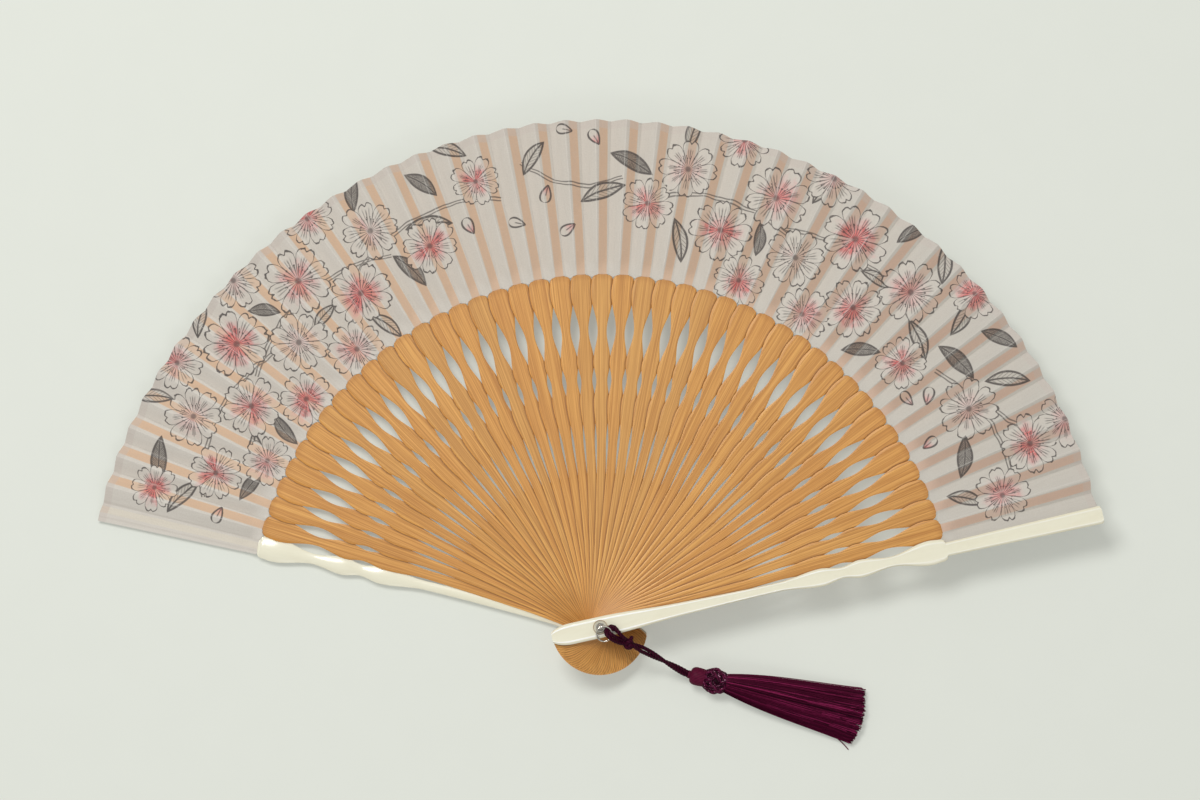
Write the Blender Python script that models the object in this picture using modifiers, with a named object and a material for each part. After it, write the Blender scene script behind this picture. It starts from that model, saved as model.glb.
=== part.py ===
"""Open folding fan: bamboo sticks, two lacquered guards, a pleated silk leaf and a tassel.

The named sizes are in millimetres and degrees, and the model is in metres. The fan lies open as on
a table. The rivet stands on the Z axis with its foot at z = 0, and each stick points outwards from
it. Azimuths are counted from +X, counter-clockwise seen from above. The back guard lies lowest, on
the left, and every stick to its right lies on the one before, up to the front guard on the right.
"""
import math
from dataclasses import dataclass

import bmesh
import bpy
from mathutils import Euler, Vector

MM = 0.001

# Opening
STICK_COUNT = 43
OPENING = 154.0

# Stack on the rivet
STICK_THICKNESS = 0.30
STACK_GAP = 0.08
GUARD_THICKNESS = 2.2
WASHER_THICKNESS = 0.4
RIVET_FLANGE_THICKNESS = 0.4

# Places along a stick, each counted from the one before it, starting at the rivet
SHANK_REACH = 30.0
LOWER_WAIST_STEP = 38.0
LOWER_LOBE_STEP = 16.5
MIDDLE_WAIST_STEP = 8.0
MIDDLE_LOBE_STEP = 7.0
UPPER_WAIST_STEP = 11.5
UPPER_LOBE_STEP = 15.0
SHOULDER_STEP = 6.2

# Thin tongue that carries the leaf
TONGUE_WIDTH = 3.6
TONGUE_THICKNESS = 0.20
TWIST_LENGTH = 6.6
TONGUE_INSET = 2.7

# Leaf
LEAF_DEPTH = 58.0
LEAF_THICKNESS = 0.20
LEAF_GAP = 0.25
SHOULDER_GAP = 0.3
PLEAT_SLOPE = 30.0
LEAF_END_FLAP_ANGLE = 1.4
LEAF_END_SPARE = 2.8
LEAF_END_SPREAD = 50.0

# Guards
GUARD_OVERHANG = 1.4
GUARD_CROWN = 0.6
GUARD_FLAT_SHARE = 0.45
GUARD_TONGUE_SPARE = 0.3
RELIEF_RAMP = 4.0

# Rivet, washers and the swivel eye in the rivet's cup
RIVET_RADIUS = 1.2
RIVET_CLEARANCE = 0.15
WASHER_RADIUS = 2.7
CUP_RADIUS = 1.25
CUP_WALL = 0.5
CUP_DEPTH = 0.7
EYE_RADIUS = 0.85
EYE_WIRE_RADIUS = 0.25
EYE_GAP = 0.1

# Jump ring
RING_RADIUS = 2.8
RING_WIRE_RADIUS = 0.3
RING_AZIMUTH = -60.0
RING_TILT = 6.0
RING_RISE = 0.15

# Cords, and the tassel that lies on the table
LOOP_RADIUS = 0.55
CORD_RADIUS = 1.0
KNOT_LENGTH = 3.0
KNOT_WIDTH = 3.2
CAP_LENGTH = 5.4
CAP_RADIUS = 3.35
CAP_SHOULDER = 2.2
COLLAR_RADIUS = 1.7
BALL_LENGTH = 8.6
BALL_RADIUS = 5.0
SKIRT_LENGTH = 50.5
SKIRT_NECK_RADIUS = 3.3
SKIRT_END_WIDTH = 20.6
SKIRT_END_THICKNESS = 4.4
TASSEL_AZIMUTH = -14.0
TASSEL_GAP = 0.3
BALL_CENTRE_X = 42.7
BALL_CENTRE_Y = -19.8

# Fineness of the meshes
STICK_WIDTH_STEP = 1.55
GUARD_WIDTH_STEP = 0.8
HEEL_ROWS = 4
HEEL_END_ANGLE = 20.0
TWIST_ROWS = 3
HOLE_SIDES = 8
ROUND_SIDES = 16
WIRE_SIDES = 6
SECTION_SIDES = 20
BALL_ROWS = 8
SHOULDER_ROWS = 3
FLATNESS = 0.0001
SKIRT_ROWS = 5

# Cord loop through the jump ring, from the knot and back: x, y, and height over the front guard
LOOP_ROUTE = (
    (9.0, -5.7, -1.6),
    (7.4, -5.1, -0.2),
    (5.4, -4.3, 1.7),
    (3.9, -3.3, 3.3),
    (2.7, -2.3, 2.9),
    (2.5, -1.3, 1.8),
    (3.3, -0.5, 1.25),
    (4.5, 0.1, 1.15),
    (5.8, -0.5, 0.9),
    (7.0, -1.9, 0.6),
    (8.2, -3.2, -0.3),
    (9.3, -4.2, -1.4),
)
KNOT_PLACE = (10.7, -5.9, -2.3)
KNOT_TILT = 25.0

# Doubled cord from the knot down to the tassel: x, y, and share of the drop that is left
CORD_ROUTE = (
    (12.3, -6.65, 0.95),
    (14.8, -7.8, 0.81),
    (18.5, -9.6, 0.60),
    (24.7, -13.0, 0.31),
    (29.2, -15.4, 0.12),
    (32.3, -17.1, 0.03),
)


@dataclass(frozen=True)
class Widths:
    """Full widths along one stick or guard, in millimetres."""

    heel_reach: float
    heel_round: float
    pivot: float
    shank: float
    lower_waist: float
    lower_lobe: float
    middle_waist: float
    middle_lobe: float
    upper_waist: float
    upper_lobe: float
    shoulder: float
    shoulder_round: float


STICK = Widths(
    heel_reach=16.8,
    heel_round=6.5,
    pivot=7.8,
    shank=4.7,
    lower_waist=3.35,
    lower_lobe=5.9,
    middle_waist=4.1,
    middle_lobe=6.5,
    upper_waist=3.3,
    upper_lobe=8.7,
    shoulder=8.0,
    shoulder_round=2.2,
)
GUARD = Widths(
    heel_reach=18.3,
    heel_round=8.0,
    pivot=7.9,
    shank=5.0,
    lower_waist=3.4,
    lower_lobe=6.7,
    middle_waist=4.2,
    middle_lobe=6.7,
    upper_waist=3.9,
    upper_lobe=9.2,
    shoulder=8.4,
    shoulder_round=1.8,
)
FRONT_TONGUE_ROOT_WIDTH = 5.2
FRONT_TONGUE_TIP_WIDTH = 6.8
BACK_TONGUE_ROOT_WIDTH = 4.4
BACK_TONGUE_TIP_WIDTH = 3.9
SHOULDER_LEDGE = 0.2

# Worked out from the sizes above
PITCH = OPENING / (STICK_COUNT + 1)
CREASE_ANGLE = PITCH / 4
FRONT_AZIMUTH = 90 - OPENING / 2
BACK_AZIMUTH = 90 + OPENING / 2
LOWER_WAIST_REACH = SHANK_REACH + LOWER_WAIST_STEP
LOWER_LOBE_REACH = LOWER_WAIST_REACH + LOWER_LOBE_STEP
MIDDLE_WAIST_REACH = LOWER_LOBE_REACH + MIDDLE_WAIST_STEP
MIDDLE_LOBE_REACH = MIDDLE_WAIST_REACH + MIDDLE_LOBE_STEP
UPPER_WAIST_REACH = MIDDLE_LOBE_REACH + UPPER_WAIST_STEP
UPPER_LOBE_REACH = UPPER_WAIST_REACH + UPPER_LOBE_STEP
SHOULDER_REACH = UPPER_LOBE_REACH + SHOULDER_STEP
LEAF_INNER = SHOULDER_REACH + SHOULDER_GAP
LEAF_OUTER = LEAF_INNER + LEAF_DEPTH
STICK_REACH = LEAF_OUTER - TONGUE_INSET
GUARD_REACH = LEAF_OUTER + GUARD_OVERHANG

BACK_WASHER_Z = RIVET_FLANGE_THICKNESS + STACK_GAP
BACK_GUARD_Z = BACK_WASHER_Z + WASHER_THICKNESS + STACK_GAP
FIRST_STICK_Z = BACK_GUARD_Z + GUARD_THICKNESS + STACK_GAP
STICK_STEP_Z = STICK_THICKNESS + STACK_GAP
FRONT_GUARD_Z = FIRST_STICK_Z + STICK_COUNT * STICK_STEP_Z
FRONT_TOP = FRONT_GUARD_Z + GUARD_THICKNESS
FRONT_WASHER_Z = FRONT_TOP + STACK_GAP
HEAD_Z = FRONT_WASHER_Z + WASHER_THICKNESS + STACK_GAP
CUP_FLOOR_Z = HEAD_Z + RIVET_FLANGE_THICKNESS
CUP_TOP_Z = CUP_FLOOR_Z + CUP_DEPTH
EYE_CENTRE_Z = CUP_FLOOR_Z + EYE_GAP + EYE_RADIUS + EYE_WIRE_RADIUS
HOLE_RADIUS = RIVET_RADIUS + RIVET_CLEARANCE
FLANGE_RADIUS = CUP_RADIUS + CUP_WALL

# Room that a guard's tongue leaves for the twisted tongue of the stick beside it
TONGUE_DIP = TONGUE_WIDTH / 2 * math.sin(math.radians(PLEAT_SLOPE))
GUARD_RELIEF = TONGUE_DIP + GUARD_TONGUE_SPARE


def stick_z(number):
    """Height of a stick's underside, from stick 1 on the back guard to the last."""
    return FIRST_STICK_Z + (number - 1) * STICK_STEP_Z


def stick_azimuth(number):
    """Direction of a stick in degrees, number 0 being the back guard."""
    return BACK_AZIMUTH - number * PITCH


def ease(share):
    """Smooth step from 0 to 1."""
    share = min(max(share, 0.0), 1.0)
    return share * share * (3 - 2 * share)


def pleat_slope(reach):
    """Sideways slope of a stick's tongue, and of the leaf on it, in radians."""
    return math.radians(PLEAT_SLOPE) * ease((reach - SHOULDER_REACH) / TWIST_LENGTH)


def guard_relief(reach):
    """Depth cut from a guard's inner face at a place along its tongue."""
    return GUARD_RELIEF * ease((reach - SHOULDER_REACH) / RELIEF_RAMP)


def heel_rows(widths):
    """Rows (reach, width) of the half-round heel, up to where the sides run straight."""
    end = math.cos(math.radians(HEEL_END_ANGLE))
    rows = []
    for row in range(HEEL_ROWS):
        angle = math.radians(HEEL_END_ANGLE + (90 - HEEL_END_ANGLE) * row / HEEL_ROWS)
        back = widths.heel_round * (1 - math.cos(angle) / end)
        rows.append((back - widths.heel_reach, widths.pivot * math.sin(angle)))
    return rows


def outline_stations(widths):
    """Lobes and waists (reach, width) of a stick, from behind the rivet to the shoulder."""
    return (
        (widths.heel_round - widths.heel_reach, widths.pivot),
        (0.0, widths.pivot),
        (SHANK_REACH, widths.shank),
        (LOWER_WAIST_REACH, widths.lower_waist),
        (LOWER_LOBE_REACH, widths.lower_lobe),
        (MIDDLE_WAIST_REACH, widths.middle_waist),
        (MIDDLE_LOBE_REACH, widths.middle_lobe),
        (UPPER_WAIST_REACH, widths.upper_waist),
        (UPPER_LOBE_REACH, widths.upper_lobe),
        (SHOULDER_REACH - widths.shoulder_round, widths.shoulder),
    )


def smooth_rows(stations, width_step):
    """Rows on a smooth curve through the stations that turns only at the lobes and waists.

    The width changes by about the step from one row to the next.
    """
    spans = list(zip(stations, stations[1:]))
    chords = [(w1 - w0) / (u1 - u0) for (u0, w0), (u1, w1) in spans]
    tangents = [0.0]
    for before, after in zip(chords, chords[1:]):
        same_way = before * after > 0
        tangents.append(2 * before * after / (before + after) if same_way else 0.0)
    tangents.append(chords[-1])
    rows = [stations[0]]
    for number, ((u0, w0), (u1, w1)) in enumerate(spans):
        length = u1 - u0
        count = max(math.ceil(abs(w1 - w0) / width_step), 1)
        for row in range(1, count + 1):
            t = row / count
            lead = (t**3 - 2 * t**2 + t) * length * tangents[number]
            trail = (t**3 - t**2) * length * tangents[number + 1]
            rows.append((u0 + t * length, w0 + (w1 - w0) * ease(t) + lead + trail))
    return rows


def shoulder_rows(widths, tongue_width):
    """Rows of the rounded shoulder, which ends with a small ledge beside the tongue."""
    neck = tongue_width + 2 * SHOULDER_LEDGE
    rows = []
    for row in range(1, SHOULDER_ROWS + 1):
        angle = math.pi / 2 * row / SHOULDER_ROWS
        reach = SHOULDER_REACH - widths.shoulder_round * (1 - math.sin(angle))
        rows.append((reach, neck + (widths.shoulder - neck) * math.cos(angle)))
    return rows


def body_rows(widths, tongue_width, width_step):
    """Rows (reach, width) of the flat part of a stick or guard, from heel to shoulder."""
    rows = heel_rows(widths)
    rows += smooth_rows(outline_stations(widths), width_step)
    return rows + shoulder_rows(widths, tongue_width)


def tongue_reaches(end):
    """Places along a tongue: through the twist in even steps, and then the end."""
    start = LEAF_INNER
    steps = [start + (TWIST_LENGTH - SHOULDER_GAP) * row / TWIST_ROWS for row in range(TWIST_ROWS + 1)]
    return steps + [end]


def stick_ring(reach, width, thickness, slope=0.0):
    """Section of a stick: a flat bar turned about the stick's own length."""
    side = width / 2 * math.cos(slope)
    lift = width / 2 * math.sin(slope)
    return [
        Vector((reach, -side, -lift)),
        Vector((reach, side, lift)),
        Vector((reach, side, lift + thickness)),
        Vector((reach, -side, thickness - lift)),
    ]


def guard_ring(reach, width, relief):
    """Section of a guard with its inner face down, a crowned outer face and a flat strip on it."""
    half = width / 2
    low = relief
    edge = GUARD_THICKNESS - GUARD_CROWN
    brow = GUARD_THICKNESS - GUARD_CROWN / 4
    outer = (
        (1.0, edge),
        ((1 + GUARD_FLAT_SHARE) / 2, brow),
        (GUARD_FLAT_SHARE, GUARD_THICKNESS),
        (-GUARD_FLAT_SHARE, GUARD_THICKNESS),
        (-(1 + GUARD_FLAT_SHARE) / 2, brow),
        (-1.0, edge),
    )
    ring = [Vector((reach, -half, low)), Vector((reach, half, low))]
    return ring + [Vector((reach, share * half, z)) for share, z in outer]


def is_twisted(face):
    """Whether a face isn't flat."""
    middle = face.calc_center_median()
    return any(abs((corner.co - middle).dot(face.normal)) > FLATNESS * MM for corner in face.verts)


def loft(name, rings):
    """Closed mesh through rings of the same number of points, in millimetres.

    A ring's first side faces down and starts one corner on, so that a twisted bar is split along
    the same diagonal on both faces and keeps its thickness.
    """
    mesh = bmesh.new()
    loops = [[mesh.verts.new(point * MM) for point in ring] for ring in rings]
    count = len(loops[0])
    for near, far in zip(loops, loops[1:]):
        for k in range(count):
            after = (k + 1) % count
            corners = (near[k], near[after], far[after], far[k])
            if k == 0:
                corners = corners[1:] + corners[:1]
            mesh.faces.new(corners)
    mesh.normal_update()
    twisted = [face for face in mesh.faces if is_twisted(face)]
    bmesh.ops.triangulate(mesh, faces=twisted, quad_method="FIXED")
    mesh.faces.new(loops[0])
    mesh.faces.new(loops[-1])
    bmesh.ops.recalc_face_normals(mesh, faces=mesh.faces)
    data = bpy.data.meshes.new(name)
    mesh.to_mesh(data)
    mesh.free()
    return data


def material(name, colour, roughness, metallic=0.0, alpha=1.0):
    """Plain material of one colour."""
    made = bpy.data.materials.new(name)
    made.use_nodes = True
    shader = made.node_tree.nodes["Principled BSDF"]
    shader.inputs["Base Color"].default_value = (*colour, 1.0)
    shader.inputs["Roughness"].default_value = roughness
    shader.inputs["Metallic"].default_value = metallic
    shader.inputs["Alpha"].default_value = alpha
    return made


def place(name, data, collection, finish, at=(0.0, 0.0, 0.0), turn=(0.0, 0.0, 0.0)):
    """Object from a mesh or curve, with its place in millimetres and its turn in degrees."""
    piece = bpy.data.objects.new(name, data)
    piece.location = Vector(at) * MM
    piece.rotation_euler = Euler([math.radians(angle) for angle in turn])
    if not data.materials:
        data.materials.append(finish)
    collection.objects.link(piece)
    return piece


def turned(name, profile, sides, collection, finish, at=(0.0, 0.0, 0.0), turn=(0.0, 0.0, 0.0)):
    """Turned piece: the profile (radius, height) runs down its outer side."""
    data = bpy.data.meshes.new(name)
    points = [(radius * MM, 0.0, height * MM) for radius, height in profile]
    edges = [(k, k + 1) for k in range(len(points) - 1)]
    if profile[0][0] > 0:
        edges.append((len(points) - 1, 0))
    data.from_pydata(points, edges, [])
    piece = place(name, data, collection, finish, at, turn)
    screw = piece.modifiers.new("turn", "SCREW")
    screw.steps = sides
    screw.render_steps = sides
    screw.use_merge_vertices = True
    screw.merge_threshold = 0.00001
    return piece


def cut(piece, cutter):
    """Cuts one shape out of another."""
    modifier = piece.modifiers.new("cut", "BOOLEAN")
    modifier.operation = "DIFFERENCE"
    modifier.solver = "EXACT"
    modifier.object = cutter


def rivet_hole_cutter(cutters):
    """Upright post through the whole stack that cuts each rivet hole."""
    bpy.ops.mesh.primitive_cylinder_add(
        vertices=HOLE_SIDES,
        radius=HOLE_RADIUS * MM / math.cos(math.pi / HOLE_SIDES),
        depth=2 * CUP_TOP_Z * MM,
    )
    post = bpy.context.object
    post.name = "rivet_hole_cutter"
    for owner in list(post.users_collection):
        owner.objects.unlink(post)
    cutters.objects.link(post)
    post.hide_render = True
    post.display_type = "WIRE"
    return post


def stick_mesh(cutter, finish):
    """The mesh that all the bamboo sticks share, lying along +X with its underside at z = 0."""
    rows = body_rows(STICK, TONGUE_WIDTH, STICK_WIDTH_STEP)
    rings = [stick_ring(reach, width, STICK_THICKNESS) for reach, width in rows]
    for reach in tongue_reaches(STICK_REACH):
        rings.append(stick_ring(reach, TONGUE_WIDTH, TONGUE_THICKNESS, pleat_slope(reach)))
    blank = bpy.data.objects.new("stick_blank", loft("stick_blank", rings))
    bpy.context.scene.collection.objects.link(blank)
    cut(blank, cutter)
    bpy.context.view_layer.update()
    evaluated = blank.evaluated_get(bpy.context.evaluated_depsgraph_get())
    data = bpy.data.meshes.new_from_object(evaluated)
    data.name = "bamboo_stick"
    data.materials.clear()
    data.materials.append(finish)
    bpy.data.objects.remove(blank)
    return data


def guard_mesh(name, root_width, tip_width):
    """Guard along +X, with its inner face at z = 0 and its tongue relieved on that face."""
    rows = body_rows(GUARD, root_width, GUARD_WIDTH_STEP)
    rings = [guard_ring(reach, width, 0.0) for reach, width in rows]
    ramp_end = SHOULDER_REACH + RELIEF_RAMP
    reaches = [LEAF_INNER, (LEAF_INNER + ramp_end) / 2, ramp_end, GUARD_REACH]
    for reach in reaches:
        share = (reach - LEAF_INNER) / (GUARD_REACH - LEAF_INNER)
        width = root_width + (tip_width - root_width) * share
        rings.append(guard_ring(reach, width, guard_relief(reach)))
    return loft(name, rings)


def add_sticks(parts, cutter):
    """Bamboo sticks in their stack, each a pitch further round and a step higher."""
    bamboo = material("bamboo", (0.66, 0.36, 0.11), 0.5)
    data = stick_mesh(cutter, bamboo)
    for number in range(1, STICK_COUNT + 1):
        at = (0.0, 0.0, stick_z(number))
        place(f"stick_{number:02d}", data, parts, bamboo, at, (0.0, 0.0, stick_azimuth(number)))


def add_guards(parts, cutter):
    """Front guard on top of the stack, and the back guard below it, turned over."""
    front = guard_mesh("front_guard", FRONT_TONGUE_ROOT_WIDTH, FRONT_TONGUE_TIP_WIDTH)
    lacquer = material("front_guard_lacquer", (0.84, 0.80, 0.62), 0.2)
    top = place("front_guard", front, parts, lacquer, (0.0, 0.0, FRONT_GUARD_Z), (0.0, 0.0, FRONT_AZIMUTH))
    back = guard_mesh("back_guard", BACK_TONGUE_ROOT_WIDTH, BACK_TONGUE_TIP_WIDTH)
    lacquer = material("back_guard_lacquer", (0.84, 0.80, 0.62), 0.2)
    at = (0.0, 0.0, BACK_GUARD_Z + GUARD_THICKNESS)
    bottom = place("back_guard", back, parts, lacquer, at, (180.0, 0.0, BACK_AZIMUTH))
    cut(top, cutter)
    cut(bottom, cutter)


def leaf_columns(reach):
    """Azimuths in degrees and heights of the leaf's underside across the fan, at one reach."""
    lift = reach * math.sin(math.radians(CREASE_ANGLE)) * math.tan(pleat_slope(reach))
    on_back = BACK_GUARD_Z + GUARD_THICKNESS - guard_relief(reach) + LEAF_GAP
    under_front = FRONT_GUARD_Z + guard_relief(reach) - LEAF_GAP - LEAF_THICKNESS
    crease = math.degrees(math.asin(BACK_TONGUE_ROOT_WIDTH / 2 / reach))
    columns = [(BACK_AZIMUTH + LEAF_END_FLAP_ANGLE, on_back), (BACK_AZIMUTH - crease, on_back)]
    for number in range(1, STICK_COUNT + 1):
        height = stick_z(number) + TONGUE_THICKNESS + LEAF_GAP
        columns.append((stick_azimuth(number) + CREASE_ANGLE, height + lift))
        columns.append((stick_azimuth(number) - CREASE_ANGLE, height - lift))
    columns.append((FRONT_AZIMUTH + CREASE_ANGLE, under_front))
    columns.append((FRONT_AZIMUTH - CREASE_ANGLE / 2, under_front))
    return columns


def leaf_edge_spare(azimuth):
    """How far the leaf's outer edge runs past its usual reach, more and more towards the back guard."""
    share = 1 - (BACK_AZIMUTH - azimuth) / LEAF_END_SPREAD
    return LEAF_END_SPARE * min(max(share, 0.0), 1.0) ** 2


def add_leaf(parts):
    """Pleated silk, a ridge on each stick's left and a valley on its right."""
    sheet = bmesh.new()
    rows = []
    for reach in tongue_reaches(LEAF_OUTER):
        row = []
        for azimuth, height in leaf_columns(reach):
            angle = math.radians(azimuth)
            far = reach + (leaf_edge_spare(azimuth) if reach == LEAF_OUTER else 0.0)
            row.append(sheet.verts.new(Vector((far * math.cos(angle), far * math.sin(angle), height)) * MM))
        rows.append(row)
    for inner, outer in zip(rows, rows[1:]):
        for k in range(len(inner) - 1):
            sheet.faces.new((inner[k], inner[k + 1], outer[k + 1], outer[k]))
    data = bpy.data.meshes.new("leaf")
    sheet.normal_update()
    if sheet.faces[:][0].normal.z < 0:
        bmesh.ops.reverse_faces(sheet, faces=sheet.faces)
    sheet.to_mesh(data)
    sheet.free()
    leaf = place("leaf", data, parts, material("silk", (0.58, 0.54, 0.50), 0.7))
    solid = leaf.modifiers.new("silk", "SOLIDIFY")
    solid.thickness = LEAF_THICKNESS * MM
    solid.offset = 1.0


def add_rivet(parts):
    """Rivet with a foot and an open cup for a head, and a washer under each."""
    steel = material("rivet_steel", (0.70, 0.69, 0.66), 0.25, 1.0)
    profile = (
        (0.0, CUP_FLOOR_Z),
        (CUP_RADIUS, CUP_FLOOR_Z),
        (CUP_RADIUS, CUP_TOP_Z),
        (FLANGE_RADIUS, CUP_TOP_Z),
        (FLANGE_RADIUS, HEAD_Z),
        (RIVET_RADIUS, HEAD_Z),
        (RIVET_RADIUS, RIVET_FLANGE_THICKNESS),
        (FLANGE_RADIUS, RIVET_FLANGE_THICKNESS),
        (FLANGE_RADIUS, 0.0),
        (0.0, 0.0),
    )
    turned("rivet", profile, ROUND_SIDES, parts, steel)
    ring = (
        (HOLE_RADIUS, WASHER_THICKNESS),
        (WASHER_RADIUS, WASHER_THICKNESS),
        (WASHER_RADIUS, 0.0),
        (HOLE_RADIUS, 0.0),
    )
    for name, height in (("back_washer", BACK_WASHER_Z), ("front_washer", FRONT_WASHER_Z)):
        clear = material(name + "_plastic", (0.80, 0.80, 0.76), 0.15, 0.0, 0.5)
        turned(name, ring, ROUND_SIDES, parts, clear, (0.0, 0.0, height))


def wire_ring(name, radius, wire, parts, finish, at, turn):
    """Closed ring of round wire."""
    bpy.ops.mesh.primitive_torus_add(
        major_radius=radius * MM,
        minor_radius=wire * MM,
        major_segments=SECTION_SIDES,
        minor_segments=WIRE_SIDES,
    )
    made = bpy.context.object
    data = made.data
    bpy.data.objects.remove(made)
    return place(name, data, parts, finish, at, turn)


def add_rings(parts):
    """Swivel eye standing in the rivet's cup, and the jump ring through it."""
    steel = material("ring_steel", (0.72, 0.71, 0.68), 0.2, 1.0)
    upright = (90.0, 0.0, RING_AZIMUTH)
    wire_ring("swivel_eye", EYE_RADIUS, EYE_WIRE_RADIUS, parts, steel, (0.0, 0.0, EYE_CENTRE_Z), upright)
    angle = math.radians(RING_AZIMUTH)
    height = EYE_CENTRE_Z + RING_RISE - RING_RADIUS * math.sin(math.radians(RING_TILT))
    at = (RING_RADIUS * math.cos(angle), RING_RADIUS * math.sin(angle), height)
    wire_ring("jump_ring", RING_RADIUS, RING_WIRE_RADIUS, parts, steel, at, (0.0, RING_TILT, RING_AZIMUTH))


def curve_points(route, spacing):
    """Points at an even spacing along a smooth curve through the route's own points."""
    guide = [Vector(point) for point in route]
    guide = [2 * guide[0] - guide[1], *guide, 2 * guide[-1] - guide[-2]]
    fine = []
    for a, b, c, d in zip(guide, guide[1:], guide[2:], guide[3:]):
        for step in range(24):
            t = step / 24
            bend = (c - a) * t + (2 * a - 5 * b + 4 * c - d) * t**2 + (3 * b - a - 3 * c + d) * t**3
            fine.append(b + bend / 2)
    fine.append(guide[-2])
    lengths = [0.0]
    for near, far in zip(fine, fine[1:]):
        lengths.append(lengths[-1] + (far - near).length)
    count = max(round(lengths[-1] / spacing), 2)
    points = []
    for k in range(count + 1):
        goal = lengths[-1] * k / count
        at = next(n for n in range(1, len(lengths)) if lengths[n] >= goal - 1e-9)
        share = (goal - lengths[at - 1]) / (lengths[at] - lengths[at - 1])
        points.append(fine[at - 1].lerp(fine[at], share))
    return points


def add_tube(name, route, radius, spacing, parts, finish):
    """Round cord along a route."""
    data = bpy.data.curves.new(name, "CURVE")
    data.dimensions = "3D"
    data.bevel_depth = radius * MM
    data.bevel_resolution = 2
    data.use_fill_caps = True
    points = curve_points(route, spacing)
    spline = data.splines.new("POLY")
    spline.points.add(len(points) - 1)
    for point, target in zip(spline.points, points):
        point.co = (*(target * MM), 1.0)
    return place(name, data, parts, finish)


def add_cords(parts):
    """Loop through the jump ring, its knot, and the doubled cord down to the tassel."""
    thread = material("cord_thread", (0.045, 0.006, 0.024), 0.8)
    loop = [(x, y, z + FRONT_TOP) for x, y, z in LOOP_ROUTE]
    add_tube("cord_loop", loop, LOOP_RADIUS, 2.0 * LOOP_RADIUS, parts, thread)
    drop = FRONT_TOP + KNOT_PLACE[2] - BALL_RADIUS
    cord = [(x, y, BALL_RADIUS + share * drop) for x, y, share in CORD_ROUTE]
    add_tube("tassel_cord", cord, CORD_RADIUS, 2.5 * CORD_RADIUS, parts, thread)
    bpy.ops.mesh.primitive_uv_sphere_add(segments=12, ring_count=8, radius=MM / 2)
    ball = bpy.context.object
    data = ball.data
    bpy.data.objects.remove(ball)
    x, y, z = KNOT_PLACE
    heading = math.degrees(math.atan2(CORD_ROUTE[1][1] - y, CORD_ROUTE[1][0] - x))
    knot_finish = material("knot_thread", (0.045, 0.006, 0.024), 0.8)
    knot = place("cord_knot", data, parts, knot_finish, (x, y, z + FRONT_TOP), (0.0, KNOT_TILT, heading))
    knot.scale = (KNOT_LENGTH, KNOT_WIDTH, KNOT_WIDTH)


def along_tassel(distance, height):
    """Place on the tassel's centre line, counted from the middle of its ball."""
    angle = math.radians(TASSEL_AZIMUTH)
    x = BALL_CENTRE_X + distance * math.cos(angle)
    y = BALL_CENTRE_Y + distance * math.sin(angle)
    return (x, y, height)


def skirt_ring(share):
    """Section of the skirt, round at its neck and spread flat on the table at its end."""
    width = SKIRT_NECK_RADIUS + (SKIRT_END_WIDTH / 2 - SKIRT_NECK_RADIUS) * share
    thick = SKIRT_NECK_RADIUS + (SKIRT_END_THICKNESS / 2 - SKIRT_NECK_RADIUS) * ease(share)
    sag = (BALL_RADIUS - SKIRT_END_THICKNESS / 2) * ease(share)
    reach = BALL_LENGTH / 2 + TASSEL_GAP + SKIRT_LENGTH * share
    ring = []
    for k in range(SECTION_SIDES):
        angle = 2 * math.pi * k / SECTION_SIDES
        ring.append(Vector((reach, width * math.cos(angle), thick * math.sin(angle) - sag)))
    return ring


def add_tassel(parts):
    """Cap, woven ball and skirt of the tassel, in line on the table."""
    silk = (0.085, 0.008, 0.038)
    lying = (0.0, -90.0, TASSEL_AZIMUTH)
    ball = [(0.0, BALL_LENGTH / 2)]
    for row in range(1, BALL_ROWS):
        angle = math.pi * row / BALL_ROWS
        ball.append((BALL_RADIUS * math.sin(angle), BALL_LENGTH / 2 * math.cos(angle)))
    ball.append((0.0, -BALL_LENGTH / 2))
    at = along_tassel(0.0, BALL_RADIUS)
    turned("tassel_ball", ball, ROUND_SIDES, parts, material("ball_cord", silk, 0.6), at, lying)
    cap = [(0.0, CAP_LENGTH), (COLLAR_RADIUS, CAP_LENGTH)]
    for row in range(1, SHOULDER_ROWS + 1):
        angle = math.pi / 2 * row / SHOULDER_ROWS
        radius = COLLAR_RADIUS + (CAP_RADIUS - COLLAR_RADIUS) * math.sin(angle)
        cap.append((radius, CAP_LENGTH - CAP_SHOULDER * (1 - math.cos(angle))))
    cap += [(CAP_RADIUS, 0.0), (0.0, 0.0)]
    at = along_tassel(-BALL_LENGTH / 2 - TASSEL_GAP, BALL_RADIUS)
    turned("tassel_cap", cap, ROUND_SIDES, parts, material("cap_silk", silk, 0.6), at, lying)
    skirt = loft("tassel_skirt", [skirt_ring(row / SKIRT_ROWS) for row in range(SKIRT_ROWS + 1)])
    at = along_tassel(0.0, BALL_RADIUS)
    finish = material("skirt_silk", silk, 0.6)
    place("tassel_skirt", skirt, parts, finish, at, (0.0, 0.0, TASSEL_AZIMUTH))


def main():
    """Clears the scene and models the fan."""
    for piece in list(bpy.data.objects):
        bpy.data.objects.remove(piece)
    parts = bpy.data.collections.new("folding_fan")
    cutters = bpy.data.collections.new("cutters")
    bpy.context.scene.collection.children.link(parts)
    bpy.context.scene.collection.children.link(cutters)
    cutter = rivet_hole_cutter(cutters)
    add_sticks(parts, cutter)
    add_guards(parts, cutter)
    add_leaf(parts)
    add_rivet(parts)
    add_rings(parts)
    add_cords(parts)
    add_tassel(parts)


main()
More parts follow.
